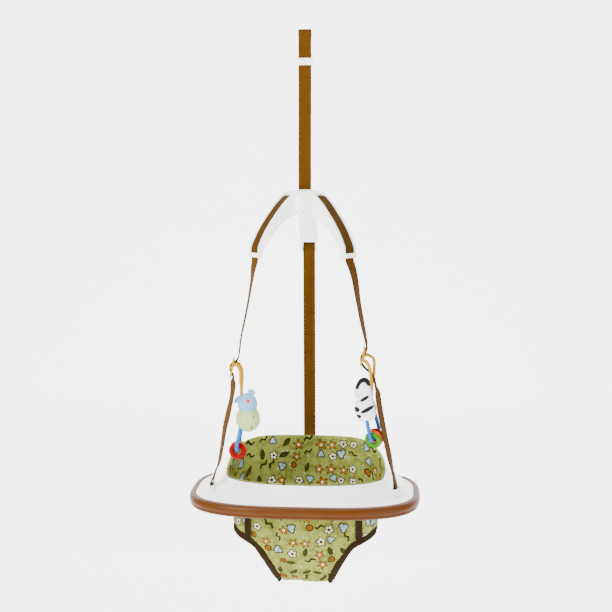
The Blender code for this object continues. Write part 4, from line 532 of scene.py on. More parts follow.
hangerShape = {"crown": 0.394, "drop": 0.168, "reach": 0.150, "hubHeight": 0.053, "rimStep": 0.0008,
               "entry": 0.0473, "entryHeights": (0.0159, 0.02915),
               "directions": {"left": 217, "right": 323, "back": 90}}
armSections = [(0.10, 0.028), (0.25, 0.028), (0.35, 0.082), (0.397, 0.118), (0.511, 0.212), (0.624, 0.330),
               (0.745, 0.465), (0.848, 0.600), (0.929, 0.730), (0.979, 0.830), (0.985, 0.905), (0.985, 1.0)]
strapReach = hangerShape["reach"] * 0.985 - hangerShape["rimStep"] - webbingCut["thickness"] / 2
layerPitch = webbingCut["thickness"] + clearance
tops = {"bend": 0.5563, "loopTop": 1.1043, "pad": 1.1462, "pinDepth": 0.0095, "pin": 0.0056, "sewn": 0.60,
        "frontX": 0.2345, "frontY": -0.0605, "backY": 0.1735, "lean": {"left": 0.0130, "right": 0.0070},
        "frontTurn": 9.0, "keeper": 0.0097, "backKeeper": 0.011, "backSlack": 0.0020}


def armLine(offset):
    line = [Vector((hangerShape["reach"] * a, -hangerShape["crown"] - hangerShape["drop"] * b))
            for a, b in armSections]
    moved = []
    for index, place in enumerate(line):
        along = (line[min(index + 1, len(line) - 1)] - line[max(index - 1, 0)]).normalized()
        moved.append(place + Vector((along.y, -along.x)) * offset)
    return moved


def flat(places, bearing):
    return [(*place, bearing, 1.0) for place in places]


def circlePoint(radius, degrees):
    return radius * math.cos(math.radians(degrees)), radius * math.sin(math.radians(degrees))


topShape = {"eyeHalf": 0.008, "eyeDepth": 0.026, "hem": 0.045, "adjuster": 0.079, "height": 0.017,
            "channel": 0.0022, "backWall": 0.0020, "topBar": 0.0030, "window": 0.0056, "tail": 0.120,
            "crossbar": 0.427, "crossbarSize": 0.008, "neck": 0.0145, "sewn": 0.0128}


def hangingStrapRoute():
    t = topShape
    backLeg = t["channel"] / 2 + t["backWall"] + standOff
    barTop = -t["adjuster"] + t["height"] / 2
    barBottom = barTop - t["topBar"]
    turn = barBottom - standOff
    eye, deep, hem, thick = t["eyeHalf"], t["eyeDepth"], t["hem"], webbingCut["thickness"]
    return flat([
        (0, -layerPitch, -hem), (0, -layerPitch, -mix(deep, hem, 0.5)), (0, -layerPitch * 1.3, -deep),
        (0, -eye * 0.85, -deep * 0.62), (0, -eye * 0.92, -deep * 0.28), (0, -eye * 0.50, -deep * 0.08),
        (0, 0, -thick / 2), (0, eye * 0.50, -deep * 0.08), (0, eye * 0.92, -deep * 0.28),
        (0, eye * 0.80, -deep * 0.66), (0, eye * 0.16, -deep), (0, 0, -mix(deep, hem, 0.5)),
        (0, 0, barTop), (0, 0, barBottom), (0, backLeg * 0.12, turn + thick * 0.25), (0, backLeg * 0.5, turn),
        (0, backLeg * 0.88, turn + thick * 0.25), (0, backLeg, barBottom), (0, backLeg, barTop),
        (0, backLeg, barTop + 0.014)], 0)


def strapTailRoute():
    t = topShape
    backLeg = t["channel"] / 2 + t["backWall"] + standOff
    bottom = -t["adjuster"] - t["height"] / 2
    sill = -t["adjuster"] + t["height"] / 2 - t["topBar"] - t["window"]
    turn, thick = sill + standOff, webbingCut["thickness"]
    return flat([
        (0, 0, bottom), (0, 0, sill), (0, backLeg * 0.12, turn - thick * 0.25), (0, backLeg * 0.5, turn),
        (0, backLeg * 0.88, turn - thick * 0.25), (0, backLeg, sill), (0, backLeg, bottom),
        (0, backLeg * 0.8, bottom - t["tail"] * 0.5), (0, backLeg * 1.2, bottom - t["tail"])], 0)


def mainLoopRoute():
    t = topShape
    top = -t["crossbar"] + t["neck"] - clearance
    wrap = t["crossbarSize"] / 2 + standOff
    places = [(0, 0, top), (0, 0, top - layerPitch), (0, wrap * 0.75, -t["crossbar"] + wrap * 1.35)]
    for turn in (20, -10, -50, -90, -130, -170, -200):
        along, up = circlePoint(wrap, turn)
        places.append((0, along, -t["crossbar"] + up))
    places += [(0, -wrap * 0.75, -t["crossbar"] + wrap * 1.35), (0, -layerPitch, top - layerPitch),
               (0, -layerPitch, top), (0, -layerPitch, top + t["sewn"])]
    return flat(places, 0)


mainTop = -topShape["adjuster"] - topShape["height"] / 2 - clearance
mainBottom = -topShape["crossbar"] + topShape["neck"]
newPiece("topWebbing", webbingMesh("topWebbing", hangingStrapRoute(), 0.0015), strapWebbing, "root",
         "webbing", ["hanging_strap"])
newPiece("tailWebbing", webbingMesh("tailWebbing", strapTailRoute(), 0.002), rearWebbing, "root", "webbing",
         ["strap_tail"])
mainWebbing = newPiece("mainWebbing", webbingMesh("mainWebbing", flat([
    (0, 0, mainTop), (0, 0.0002, mix(mainTop, mainBottom, 0.5)), (0, 0, mainBottom)], 0), 0.006),
    strapWebbing, "root", "webbing", ["main_strap"])
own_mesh(mainWebbing)
newPiece("mainLoopWebbing", webbingMesh("mainLoopWebbing", mainLoopRoute(), 0.0015), strapWebbing,
         "main_strap", "webbing", ["main_strap_loop"])


def armStrapRoute(side):
    direction = hangerShape["directions"][side]
    line = armLine(hangerShape["rimStep"] + webbingCut["thickness"] / 2)
    hubBottom = -hangerShape["crown"] - hangerShape["hubHeight"]
    entry, crest, thick = hangerShape["entry"] + webbingCut["thickness"], line[3], webbingCut["thickness"]
    places = [Vector((entry, hubBottom + up)) for up in hangerShape["entryHeights"]]
    places += [Vector((mix(entry, crest.x, share), crest.y + thick * up))
               for share, up in ((0.06, 1.6), (0.30, 3.2), (0.62, 2.6))]
    places += line[3:-1]
    places.append(Vector((strapReach, -tops["bend"])))
    outward = bearingVector(direction)
    return flat([(outward.x * p.x, outward.y * p.x, p.y) for p in places], direction + 90)


# each row: across, along, the drop below the keepers, the bearing of the width and how far it is gathered
frontPlaces = {
    "left": [
        (-0.1208, -0.0863, 0.0287, 120, 1), (-0.1255, -0.0844, 0.0617, 110, 1),
        (-0.1342, -0.0814, 0.1117, 106, 1), (-0.1440, -0.0785, 0.1600, 105, 1),
        (-0.1533, -0.0761, 0.2015, 104, 1), (-0.1585, -0.0750, 0.2405, 103, 1),
        (-0.1615, -0.0750, 0.2560, 97, 0.7), (-0.1680, -0.0750, 0.2650, 90, 0.45),
        (-0.1770, -0.0750, 0.2710, 90, 0.45), (-0.1817, -0.0750, 0.2797, 90, 0.45),
        (-0.1790, -0.0750, 0.2937, 92, 0.45), (-0.1742, -0.0750, 0.3060, 104, 0.6),
        (-0.1748, -0.0744, 0.3199, 122, 0.95), (-0.1797, -0.0720, 0.3598, 116, 1),
        (-0.1890, -0.0695, 0.3999, 119, 1), (-0.1986, -0.0671, 0.4402, 117, 1),
        (-0.2051, -0.0646, 0.4804, 114, 1), (-0.2130, -0.0621, 0.5211, 110, 1)],
    "right": [
        (0.1235, -0.0863, 0.0287, 57, 1), (0.1308, -0.0845, 0.0597, 63, 1), (0.1385, -0.0815, 0.1097, 70, 1),
        (0.1476, -0.0786, 0.1597, 73, 1), (0.1545, -0.0767, 0.1920, 76, 0.95),
        (0.1598, -0.0750, 0.2180, 79, 0.8),
        (0.1592, -0.0750, 0.2300, 84, 0.55), (0.1550, -0.0750, 0.2395, 90, 0.45),
        (0.1480, -0.0750, 0.2462, 90, 0.45), (0.1455, -0.0750, 0.2567, 90, 0.45),
        (0.1490, -0.0750, 0.2697, 90, 0.45), (0.1580, -0.0750, 0.2802, 90, 0.45),
        (0.1690, -0.0750, 0.2897, 86, 0.45), (0.1780, -0.0750, 0.3037, 82, 0.45),
        (0.1845, -0.0739, 0.3287, 76, 0.7), (0.1878, -0.0729, 0.3440, 68, 1),
        (0.1936, -0.0705, 0.3833, 66, 1),
        (0.2017, -0.0680, 0.4253, 68, 1), (0.2100, -0.0655, 0.4667, 69, 1), (0.2189, -0.0629, 0.5080, 70, 1)]}


def frontRoute(side):
    direction = hangerShape["directions"][side]
    start = bearingVector(direction) * strapReach
    bearing = direction - 90 if side == "left" else direction - 270
    rows = [(start.x, start.y, -tops["bend"] - drop, bearing, 1.0) for drop in (clearance, tops["keeper"])]
    return rows + [(x, y, -tops["bend"] - drop, turned, share)
                   for x, y, drop, turned, share in frontPlaces[side]]


def anchorLoop(slack):
    wrap = tops["pin"] / 2 + standOff
    pin = -tops["pad"] - tops["pinDepth"]
    sewn = mix(-tops["pad"], -tops["loopTop"], tops["sewn"])
    places = [(0, sewn), (-wrap * 0.5, mix(sewn, pin, 0.5)), (-wrap, pin + wrap * 0.8)]
    for turn in (200, 235, 270, 305, 340):
        across, up = circlePoint(wrap, turn)
        places.append((across, pin - slack + up))
    return places + [(wrap, pin + wrap * 0.8), (wrap * 0.5 + layerPitch, mix(sewn, pin, 0.5)),
                     (layerPitch, sewn)]


def frontLoopRoute(side):
    sign = -1 if side == "left" else 1
    top, deck = -tops["loopTop"], -tops["pad"]
    turn = math.radians(tops["frontTurn"])
    rows = []
    for offset, height in [(0, top), *anchorLoop(0.0), (layerPitch, top - 0.003)]:
        lean = tops["lean"][side] * max(height - deck, 0) / (top - deck)
        rows.append((sign * (tops["frontX"] - lean + offset * math.cos(turn)),
                     tops["frontY"] - offset * math.sin(turn), height, 90 - sign * tops["frontTurn"], 1.0))
    return rows


def backStrapRoute():
    top, loop = -tops["bend"] - clearance, anchorLoop(tops["backSlack"])
    below = top - tops["backKeeper"]
    rows = [(0, strapReach, top, 0, 1.0), (0, strapReach, below, 0, 1.0)]
    for share in (0.25, 0.5, 0.75):
        rows.append((0, mix(strapReach, tops["backY"], share), mix(below, loop[0][1], share), 0, 1.0))
    rows += [(0, tops["backY"] + offset, height, 0, 1.0) for offset, height in loop]
    return rows + [(0, tops["backY"] + layerPitch, -tops["loopTop"], 0, 1.0)]


for side in ("left", "right", "back"):
    newPiece("armWebbing_" + side, webbingMesh("armWebbing_" + side, armStrapRoute(side), 0.003), armWebbing,
             "hanger", "webbing", ["arm_strap_" + side])
for side in ("left", "right"):
    name = "frontWebbing_" + side
    strap = newPiece(name, webbingMesh(name, frontRoute(side) + frontLoopRoute(side), 0.0025), strapWebbing,
                     None, "webbing")
    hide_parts("front_strap_" + side, "strap_loop_" + side)
    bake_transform(strap)
newPiece("backWebbing", webbingMesh("backWebbing", backStrapRoute(), 0.003), rearWebbing, "back_strap",
         "webbing", ["back_strap"])
print("webbing made")


trayShape = {"centreY": 0.015, "halfWidth": 0.282, "halfDepth": 0.174, "roundness": 3.1, "edge": 1.1710,
             "skirt": 0.013, "wall": 0.0025, "floor": 1.2030, "side": 1.1980, "segments": 176}
openingShape = {"centreY": 0.029, "halfWidth": 0.209, "halfDepth": 0.119, "roundness": 2.5,
                "lipFront": 1.1350, "lipBack": 1.0640, "roll": 0.0050, "innerWall": 1.1780,
                "riseFrom": -0.30, "riseTo": 0.92}
# place from the opening to the edge, then the height shares at the front and at the back
deckShares = [(1.00, 0.00, 0.00), (0.90, 0.05, 0.02), (0.76, 0.20, 0.08), (0.63, 0.46, 0.15),
              (0.36, 0.64, 0.23), (0.22, 0.76, 0.36), (0.10, 0.90, 0.86), (0.00, 1.00, 1.00)]


def oval(halfWidth, halfDepth, centreY, roundness, heights, segments=None):
    points = []
    count = segments or trayShape["segments"]
    for index in range(count):
        turn = math.tau * index / count
        across, along = math.cos(turn), math.sin(turn)
        points.append(Vector((halfWidth * math.copysign(abs(across) ** (2 / roundness), across),
                              centreY + halfDepth * math.copysign(abs(along) ** (2 / roundness), along),
                              heights(along))))
    return points


def trayOutline(place, offset, heights, segments=None):
    o, t = openingShape, trayShape
    return oval(mix(o["halfWidth"], t["halfWidth"], place) + offset,
                mix(o["halfDepth"], t["halfDepth"], place) + offset, mix(o["centreY"], t["centreY"], place),
                mix(o["roundness"], t["roundness"], place), heights, segments)


def between(front, back):
    span = openingShape["riseTo"] - openingShape["riseFrom"]
    return lambda along: mix(front, back, ease((along - openingShape["riseFrom"]) / span))


def level(height):
    return lambda along: height


def lipHeight(drop=0.0):
    return between(-openingShape["lipFront"] - drop, -openingShape["lipBack"] - drop)


def shell(name, rings, wall):
    made = linked(name, gridMesh(name, rings, plainUvs(rings), closedAround=True, capped=False))
    solid = made.modifiers.new("wall", "SOLIDIFY")
    solid.thickness = wall
    solid.offset = -1.0
    solid.use_even_offset = True
    return made


def cutBy(piece, cutter, operation="DIFFERENCE"):
    step = piece.modifiers.new(operation.lower(), "BOOLEAN")
    step.operation = operation
    step.solver = "EXACT"
    step.object = cutter
    cutter.hide_render = True
    cutter.hide_viewport = True


def block(name, size, centre, turn=0.0, soften=0.0):
    build = bmesh.new()
    bmesh.ops.create_cube(build, size=1.0)
    bmesh.ops.scale(build, vec=Vector(size), verts=build.verts)
    if soften:
        upright = [edge for edge in build.edges if abs(edge.verts[0].co.z - edge.verts[1].co.z) > size[2] / 2]
        bmesh.ops.bevel(build, geom=upright, offset=soften, segments=6, affect="EDGES")
    bmesh.ops.rotate(build, matrix=Matrix.Rotation(turn, 3, "Z"), verts=build.verts)
    bmesh.ops.translate(build, vec=Vector(centre), verts=build.verts)
    return linked(name, meshFrom(build, name))


anchorShape = {"padLength": 0.054, "padWidth": 0.0185, "padDepth": 0.012, "holeLength": 0.0406,
               "holeWidth": 0.0140, "holeDepth": 0.040, "corner": 0.0035}
anchorPlaces = {"left": (-tops["frontX"], tops["frontY"], math.radians(90 + tops["frontTurn"])),
                "right": (tops["frontX"], tops["frontY"], math.radians(90 - tops["frontTurn"])),
                "back": (0, tops["backY"], 0)}


def trayTopPiece():
    t, o = trayShape, openingShape
    foot = -t["edge"] - t["skirt"]
    rings = [trayOutline(1.0, offset, level(height)) for offset, height in (
        (-0.0012, foot + 0.0001), (0, foot + 0.0012), (0, -t["edge"] - t["skirt"] * 0.5),
        (0, -t["edge"] - 0.0018), (-0.0006, -t["edge"] - 0.0006))]
    for place, front, back in smoothRoute(deckShares, steps=5)[1:-1]:
        rings.append(trayOutline(place, 0, between(mix(-t["edge"], -o["lipFront"], front),
                                                   mix(-t["edge"], -o["lipBack"], back))))
    for turn in (0, 18, 36, 54, 72, 90):
        angle = math.radians(turn)
        rings.append(trayOutline(0.0, -o["roll"] * math.sin(angle),
                                 lipHeight(o["roll"] * (1 - math.cos(angle)))))
    rings.append(trayOutline(0.0, -o["roll"], between(
        mix(-o["lipFront"], -o["innerWall"], 0.5), mix(-o["lipBack"], -o["innerWall"], 0.5))))
    rings.append(trayOutline(0.0, -o["roll"], level(-o["innerWall"])))
    piece = shell("trayTop", rings, t["wall"])
    cutters = []
    for side, (x, y, turn) in anchorPlaces.items():
        size, holeSize = (tuple(anchorShape[kind + way] for way in ("Length", "Width", "Depth"))
                          for kind in ("pad", "hole"))
        for kind, dims, z, operation in (("pad", size, -tops["pad"] - size[2] / 2, "UNION"),
                                         ("space", size, -tops["pad"] + size[2] / 2, "DIFFERENCE"),
                                         ("hole", holeSize, -tops["pad"], "DIFFERENCE")):
            cutter = block(kind + side, dims, (x, y, z), turn, anchorShape["corner"])
            cutBy(piece, cutter, operation)
            cutters.append(cutter)
    return newPiece("trayTop", finalMesh(piece, cutters), trayWhite, "tray", "white_plastic",
                    ["tray_top"], 34)


def trayBasePiece():
    t, o = trayShape, openingShape
    profile = [(1.0, -t["wall"] / 2, -t["edge"] - t["skirt"] - clearance),
               (1.0, -t["wall"] / 2, -t["side"] + 0.0020), (0.985, -t["wall"] / 2, -t["side"] - 0.0010),
               (0.955, 0, -t["side"] - 0.0034), (0.90, 0, -t["floor"] + 0.0003), (0.80, 0, -t["floor"]),
               (0.55, 0, -t["floor"]), (0.16, 0, -t["floor"]), (0.08, 0, -t["floor"] + 0.0008),
               (0.02, -o["roll"] * 0.8, -t["side"] - 0.0012), (0.0, -o["roll"], -t["side"] + 0.0010),
               (0.0, -o["roll"], -o["innerWall"] - clearance)]
    rings = [trayOutline(place, offset, level(height)) for place, offset, height in profile]
    piece = shell("trayBase", list(reversed(rings)), t["wall"])
    return newPiece("trayBase", finalMesh(piece), trayWhite, "tray", "white_plastic", ["tray_base"], 40)


trayTopPiece()
trayBasePiece()


# each row: outward share and height share of the bumper's outline, which is a bead above a roll
bumperShape = {"depth": 0.016, "height": 0.030, "centre": 1.1840}
bumperShares = [(0.02, 0.80), (0.06, 0.94), (0.20, 1.00), (0.42, 1.00), (0.62, 0.95), (0.77, 0.84),
                (0.86, 0.68), (0.875, 0.54), (0.845, 0.41), (0.85, 0.31), (0.92, 0.18), (0.985, 0.02),
                (1.00, -0.22), (0.985, -0.44), (0.92, -0.64), (0.80, -0.82), (0.62, -0.94), (0.42, -0.99),
                (0.20, -1.00), (0.06, -0.98), (0.02, -0.90)]


def nodesTree(name, inputs):
    # Geometry Nodes: a tree with named inputs, which reads a path and ends in meshes set in their finish
    tree = bpy.data.node_groups.new(name, "GeometryNodeTree")
    sockets = {label: tree.interface.new_socket(label, in_out="INPUT", socket_type="NodeSocket" + kind)
               for label, kind in {"Path": "Object", **inputs, "Finish": "Material"}.items()}
    tree.interface.new_socket("Mesh", in_out="OUTPUT", socket_type="NodeSocketGeometry")
    given = tree.nodes.new("NodeGroupInput")
    result = tree.nodes.new("NodeGroupOutput")
    path = tree.nodes.new("GeometryNodeObjectInfo")
    realize = tree.nodes.new("GeometryNodeRealizeInstances")
    dress = tree.nodes.new("GeometryNodeSetMaterial")
    join(tree, [(given, "Path", path, "Object"), (realize, "Geometry", dress, "Geometry"),
                (given, "Finish", dress, "Material"), (dress, "Geometry", result, "Mesh")])
    return tree, {label: socket.identifier for label, socket in sockets.items()}, given, path, realize


def join(tree, pairs):
    for source, output, target, socket in pairs:
        tree.links.new(source.outputs[output], target.inputs[socket])


def sweepTree(name):
    # the outline is swept along the path
    tree, identifiers, given, path, realize = nodesTree(name, {"Outline": "Object"})
    outline = tree.nodes.new("GeometryNodeObjectInfo")
    sweep = tree.nodes.new("GeometryNodeCurveToMesh")
    join(tree, [(given, "Outline", outline, "Object"), (path, "Geometry", sweep, "Curve"),
                (outline, "Geometry", sweep, "Profile Curve"), (sweep, "Mesh", realize, "Geometry")])
    return tree, identifiers


def polyCurve(name, points, cyclic):
    curve = bpy.data.curves.new(name, "CURVE")
    curve.dimensions = "3D"
    path = curve.splines.new("POLY")
    path.points.add(len(points) - 1)
    for target, place in zip(path.points, points):
        target.co = (*place, 1.0)
    path.use_cyclic_u = cyclic
    return linked(name, curve)


def nodesMesh(name, tree, identifiers, values):
    # the tree is run on an empty mesh and turned into a plain one
    holder = linked(name, bpy.data.meshes.new(name))
    step = holder.modifiers.new("nodes", "NODES")
    step.node_group = tree
    for label, value in values.items():
        step[identifiers[label]] = value
    holder.update_tag()
    bpy.context.view_layer.update()
    return finalMesh(holder)


def bumperPiece():
    b = bumperShape
    path = polyCurve("bumperPath", trayOutline(1.0, 0, level(-b["centre"])), True)
    shares = smoothRoute(bumperShares + bumperShares[:1], steps=2)[:-1]
    outline = polyCurve("bumperOutline", [(b["depth"] * outward, b["height"] / 2 * high, 0)
                                          for outward, high in shares], True)
    tree, identifiers = sweepTree("bumperSweep")
    mesh = nodesMesh("tray_bumper_visual", tree, identifiers,
                     {"Path": path, "Outline": outline, "Finish": bumperBrown})
    discard([path, outline])
    turnedOutwards(mesh)
    return newPiece("bumperRing", mesh, bumperBrown, "tray", "bumper", ["tray_bumper"], 60)


bumperPiece()
print("tray made")


# each row: drop share below the tray, width share, depth share and roundness
seatShares = [(0.00, 0.90, 0.94, 2.5), (0.10, 0.90, 0.92, 2.5), (0.25, 0.91, 0.87, 2.6),
              (0.42, 0.86, 0.80, 2.7), (0.60, 0.74, 0.70, 2.8), (0.77, 0.62, 0.57, 2.8),
              (0.89, 0.54, 0.41, 2.8), (0.97, 0.48, 0.25, 2.8), (1.00, 0.42, 0.12, 2.6)]
seatShape = {"wall": 0.0030, "inset": 0.0066, "hemRise": 0.0006, "crotch": 1.4200, "bottomY": 0.022,
             "seams": (0.0, 0.074, 0.138), "fullness": 0.0060, "fullFrom": 0.22, "fullTo": 0.55,
             "segments": 264, "rings": 44, "unevenDepth": 0.0022, "unevenWidth": 0.0018, "rearPrint": 0.9}
legCut = {"top": 1.2630, "halfWidth": 0.131, "through": (-0.16, 0.20), "shares": [
    (1.70, -0.030), (1.466, 0.000), (1.275, 0.102), (1.092, 0.166), (0.908, 0.248), (0.733, 0.478),
    (0.588, 0.745), (0.496, 0.987), (0.485, 1.060)]}


def seatSection(share):
    share = min(max(share, 0.0), 1.0)
    for upper, lower in zip(seatShares, seatShares[1:]):
        if share <= lower[0]:
            t = (share - upper[0]) / (lower[0] - upper[0])
            width, depth, roundness = (mix(upper[column], lower[column], t) for column in (1, 2, 3))
            break
    return (openingShape["halfWidth"] * width, openingShape["halfDepth"] * depth,
            mix(openingShape["centreY"], seatShape["bottomY"], share), roundness)


def seatHeight(share):
    return -mix(trayShape["floor"], seatShape["crotch"], share)


def seatShare(height):
    return (-height - trayShape["floor"]) / (seatShape["crotch"] - trayShape["floor"])


def panelFullness(x):
    seams = seatShape["seams"]
    across = abs(x)
    if across < seams[1]:
        share = (across / seams[1] + 1) / 2
    elif across < seams[2]:
        share = (across - seams[1]) / (seams[2] - seams[1])
    else:
        return 0.0
    return seatShape["fullness"] * 4 * share * (1 - share)


def fullnessAt(share):
    gone = ease((share - seatShape["fullTo"]) / (1 - seatShape["fullTo"]))
    return ease(share / seatShape["fullFrom"]) * (1 - gone)


def seatRing(share):
    halfWidth, halfDepth, centreY, roundness = seatSection(share)
    ring = oval(halfWidth, halfDepth, centreY, roundness, level(seatHeight(share)), seatShape["segments"])
    for point in ring:
        towards = (point.y - centreY) / halfDepth
        point.y += panelFullness(point.x) * towards * fullnessAt(share)
        uneven = noise.noise(Vector((point.x * 30, point.y * 30, share * 5)))
        point.y += towards * uneven * seatShape["unevenDepth"] * ease(share / 0.2)
        sideways = math.copysign(1, point.x) * uneven * seatShape["unevenWidth"]
        point.x += sideways * ease(share / 0.3) * (1 - abs(towards))
    return ring


def legOutline():
    corners = [(legCut["halfWidth"] * width, -mix(legCut["top"], seatShape["crotch"], drop), 0)
               for width, drop in legCut["shares"]]
    return [row[:2] for row in smoothRoute(corners, 0.006)]


def seatSurface(x, height, side, inward=0.0):
    share = seatShare(height)
    halfWidth, halfDepth, centreY, roundness = seatSection(share)
    halfWidth, halfDepth = halfWidth - inward, halfDepth - inward
    across = min(abs(x) / halfWidth, 1.0)
    towards = side * (1 - across ** roundness) ** (1 / roundness)
    return centreY + towards * (halfDepth + panelFullness(x) * fullnessAt(share))


def layPrint(mesh, rings):
    # each half of the cloth is measured from its own middle column, and down each column
    count = len(rings[0])
    around, down = [], []
    for index, ring in enumerate(rings):
        run = [0.0]
        for column in range(count):
            run.append(run[-1] + (ring[(column + 1) % count] - ring[column]).length)
        around.append(run)
        above = rings[index - 1]
        down.append([0.0] * count if not index else
                    [down[-1][column] - (ring[column] - above[column]).length for column in range(count)])
    layer = mesh.uv_layers["UVMap"].data
    for face in mesh.polygons:
        columns = [mesh.loops[corner].vertex_index % count for corner in face.loop_indices]
        rear = max(columns) <= count // 2 and sum(columns) > 0
        for corner, column in zip(face.loop_indices, columns):
            row = mesh.loops[corner].vertex_index // count
            if rear:
                across = around[row][column] - around[row][count // 4] + seatShape["rearPrint"]
            else:
                across = around[row][column or count] - around[row][count * 3 // 4]
            layer[corner].uv = (across, down[row][column])


seatStrapShape = {"width": 0.017, "x": 0.1430, "top": 1.2040, "bottom": 1.2840, "near": 0.0036,
                  "thick": 0.0016, "steps": 8}
foldShape = {"letOut": 0.055, "frames": 20, "reach": 0.0045, "heldRows": 6, "clear": 0.030, "edgeShare": 0.15,
             "strapShare": 0.15, "crease": 0.0062, "fineCrease": 0.45, "neighbours": 6, "blur": 0.0005,
             "hemRows": 4, "press": 1.4, "broad": ((19, 15, 8), 0, 3.2), "fine": ((37, 30, 21), 4, 3.0)}


def roomToFold(point):
    # the cloth stays put beside the bound leg openings and behind the seat straps
    nearest = min(math.hypot(abs(point.x) - x, point.z - z) for x, z in legOutline())
    share = mix(foldShape["edgeShare"], 1.0, ease(nearest / foldShape["clear"]))
    s = seatStrapShape
    if point.y < seatShape["bottomY"] and -s["bottom"] - 0.01 < point.z < -s["top"] + 0.03:
        beside = abs(abs(point.x) - s["x"]) - s["width"] / 2
        share *= mix(foldShape["strapShare"], 1.0, ease(beside / 0.02))
    return share


def ridge(place, scales, shift, sharpness):
    # 1 along the thin lines where the noise is zero, 0 away from them
    x, y, z = (value * scale for value, scale in zip(place, scales))
    return max(0.0, 1 - sharpness * abs(noise.noise(Vector((x + shift, y, z))))) ** 2


def creased(place, change):
    # inside the tray the cloth can only come inwards, and sharp creases run down it everywhere
    halfWidth, halfDepth, centreY, _ = seatSection(min(max(seatShare(place.z), 0.0), 1.0))
    outward = Vector((place.x / halfWidth ** 2, (place.y - centreY) / halfDepth ** 2, 0)).normalized()
    inTray = 1 - ease((-place.z - trayShape["floor"]) / foldShape["clear"])
    bulge = max(change.dot(outward), 0)
    change = change - outward * bulge * foldShape["press"] * inTray
    broad, fine = ridge(place, *foldShape["broad"]), ridge(place, *foldShape["fine"])
    return change - outward * (broad + fine * foldShape["fineCrease"]) * foldShape["crease"]


def fold(mesh, count):
    # the cloth is let out between its held rows, so that it settles into folds
    piece = linked("seatFolds", mesh.copy())
    held = piece.vertex_groups.new(name="held")
    last = len(mesh.vertices)
    held.add(list(range(count * foldShape["heldRows"])) + list(range(last - count, last)), 1.0, "REPLACE")
    step = piece.modifiers.new("folds", "CLOTH")
    settings = step.settings
    settings.quality = 6
    settings.mass = 0.15
    settings.vertex_group_mass = "held"
    settings.shrink_min = -foldShape["letOut"]
    settings.bending_stiffness = 0.2
    settings.effector_weights.gravity = 0.0
    step.collision_settings.use_collision = False
    step.point_cache.frame_start = 1
    step.point_cache.frame_end = foldShape["frames"]
    for moment in range(1, foldShape["frames"] + 1):
        scene.frame_set(moment)
    settled = piece.evaluated_get(bpy.context.evaluated_depsgraph_get()).data
    field = kdtree.KDTree(last)
    moves = []
    for point, moved in zip(mesh.vertices, settled.vertices):
        change = moved.co - point.co
        if change.length > foldShape["reach"]:
            change *= foldShape["reach"] / change.length
        belowHem = min(max(point.index // count / foldShape["hemRows"] - 1, 0), 1)
        moves.append(creased(point.co, change) * roomToFold(point.co) * belowHem)
        field.insert(point.co, point.index)
    field.balance()
    scene.frame_set(1)
    discard([piece])
    return field, moves


def settle(place, folds):
    # a place on the smooth cloth goes where the folded cloth is
    if folds is None:
        return place
    field, moves = folds
    total, weight = Vector(), 0.0
    for _, index, distance in field.find_n(place, foldShape["neighbours"]):
        share = 1 / (distance + foldShape["blur"])
        total += moves[index] * share
        weight += share
    return place + total / weight


def seatPiece():
    s, o, count = seatShape, openingShape, seatShape["segments"]
    hem = -o["roll"] * 0.62
    rings = [trayOutline(0.0, offset, lipHeight(drop), count) for offset, drop in (
        (hem, 0.0004), (hem - 0.0010, -s["hemRise"]), (hem - 0.0024, 0.0006),
        (-o["roll"] - s["inset"] * 0.2, o["roll"] * 0.7), (-s["inset"], o["roll"] * 1.8))]
    for share in (0.2, 0.4, 0.6, 0.8, 1.0):
        rings.append(trayOutline(0.0, -s["inset"], between(mix(-o["lipFront"], -o["innerWall"], share),
                                                          mix(-o["lipBack"], -o["innerWall"], share)), count))
    rings += [seatRing(step / s["rings"]) for step in range(s["rings"] + 1)]
    mesh = gridMesh("seatCloth", rings, plainUvs(rings), closedAround=True, capped=False)
    layPrint(mesh, rings)
    folds = fold(mesh, count)
    build = bmesh.new()
    build.from_mesh(mesh)
    bottom = [edge for edge in build.edges if edge.is_boundary
              and max(point.co.z for point in edge.verts) < seatHeight(1.0) + 0.0005]
    bmesh.ops.contextual_create(build, geom=bottom)
    bmesh.ops.recalc_face_normals(build, faces=build.faces)
    build.to_mesh(mesh)
    build.free()
    piece = linked("seatCloth", mesh)
    solid = piece.modifiers.new("wall", "SOLIDIFY")
    solid.thickness = s["wall"]
    solid.offset = -1.0
    cutters = []
    outline = legOutline()
    low = outline[-1][1] - 0.01
    for sign in (-1, 1):
        points = [(sign * x, z) for x, z in outline + [(outline[-1][0], low), (outline[0][0], low)]]
        rings = [[Vector((x, y, z)) for x, z in points] for y in legCut["through"]]
        cutters.append(linked("legCutter", gridMesh("legCutter", rings, plainUvs(rings), True)))
        cutBy(piece, cutters[-1])
    mesh = finalMesh(piece, cutters)
    for point in mesh.vertices:
        point.co = settle(point.co, folds)
    made = newPiece("seatCloth", mesh, seatPrint, "tray", "seat_fabric", ["seat_bucket"], 50)
    return folds


seatFolds = seatPiece()


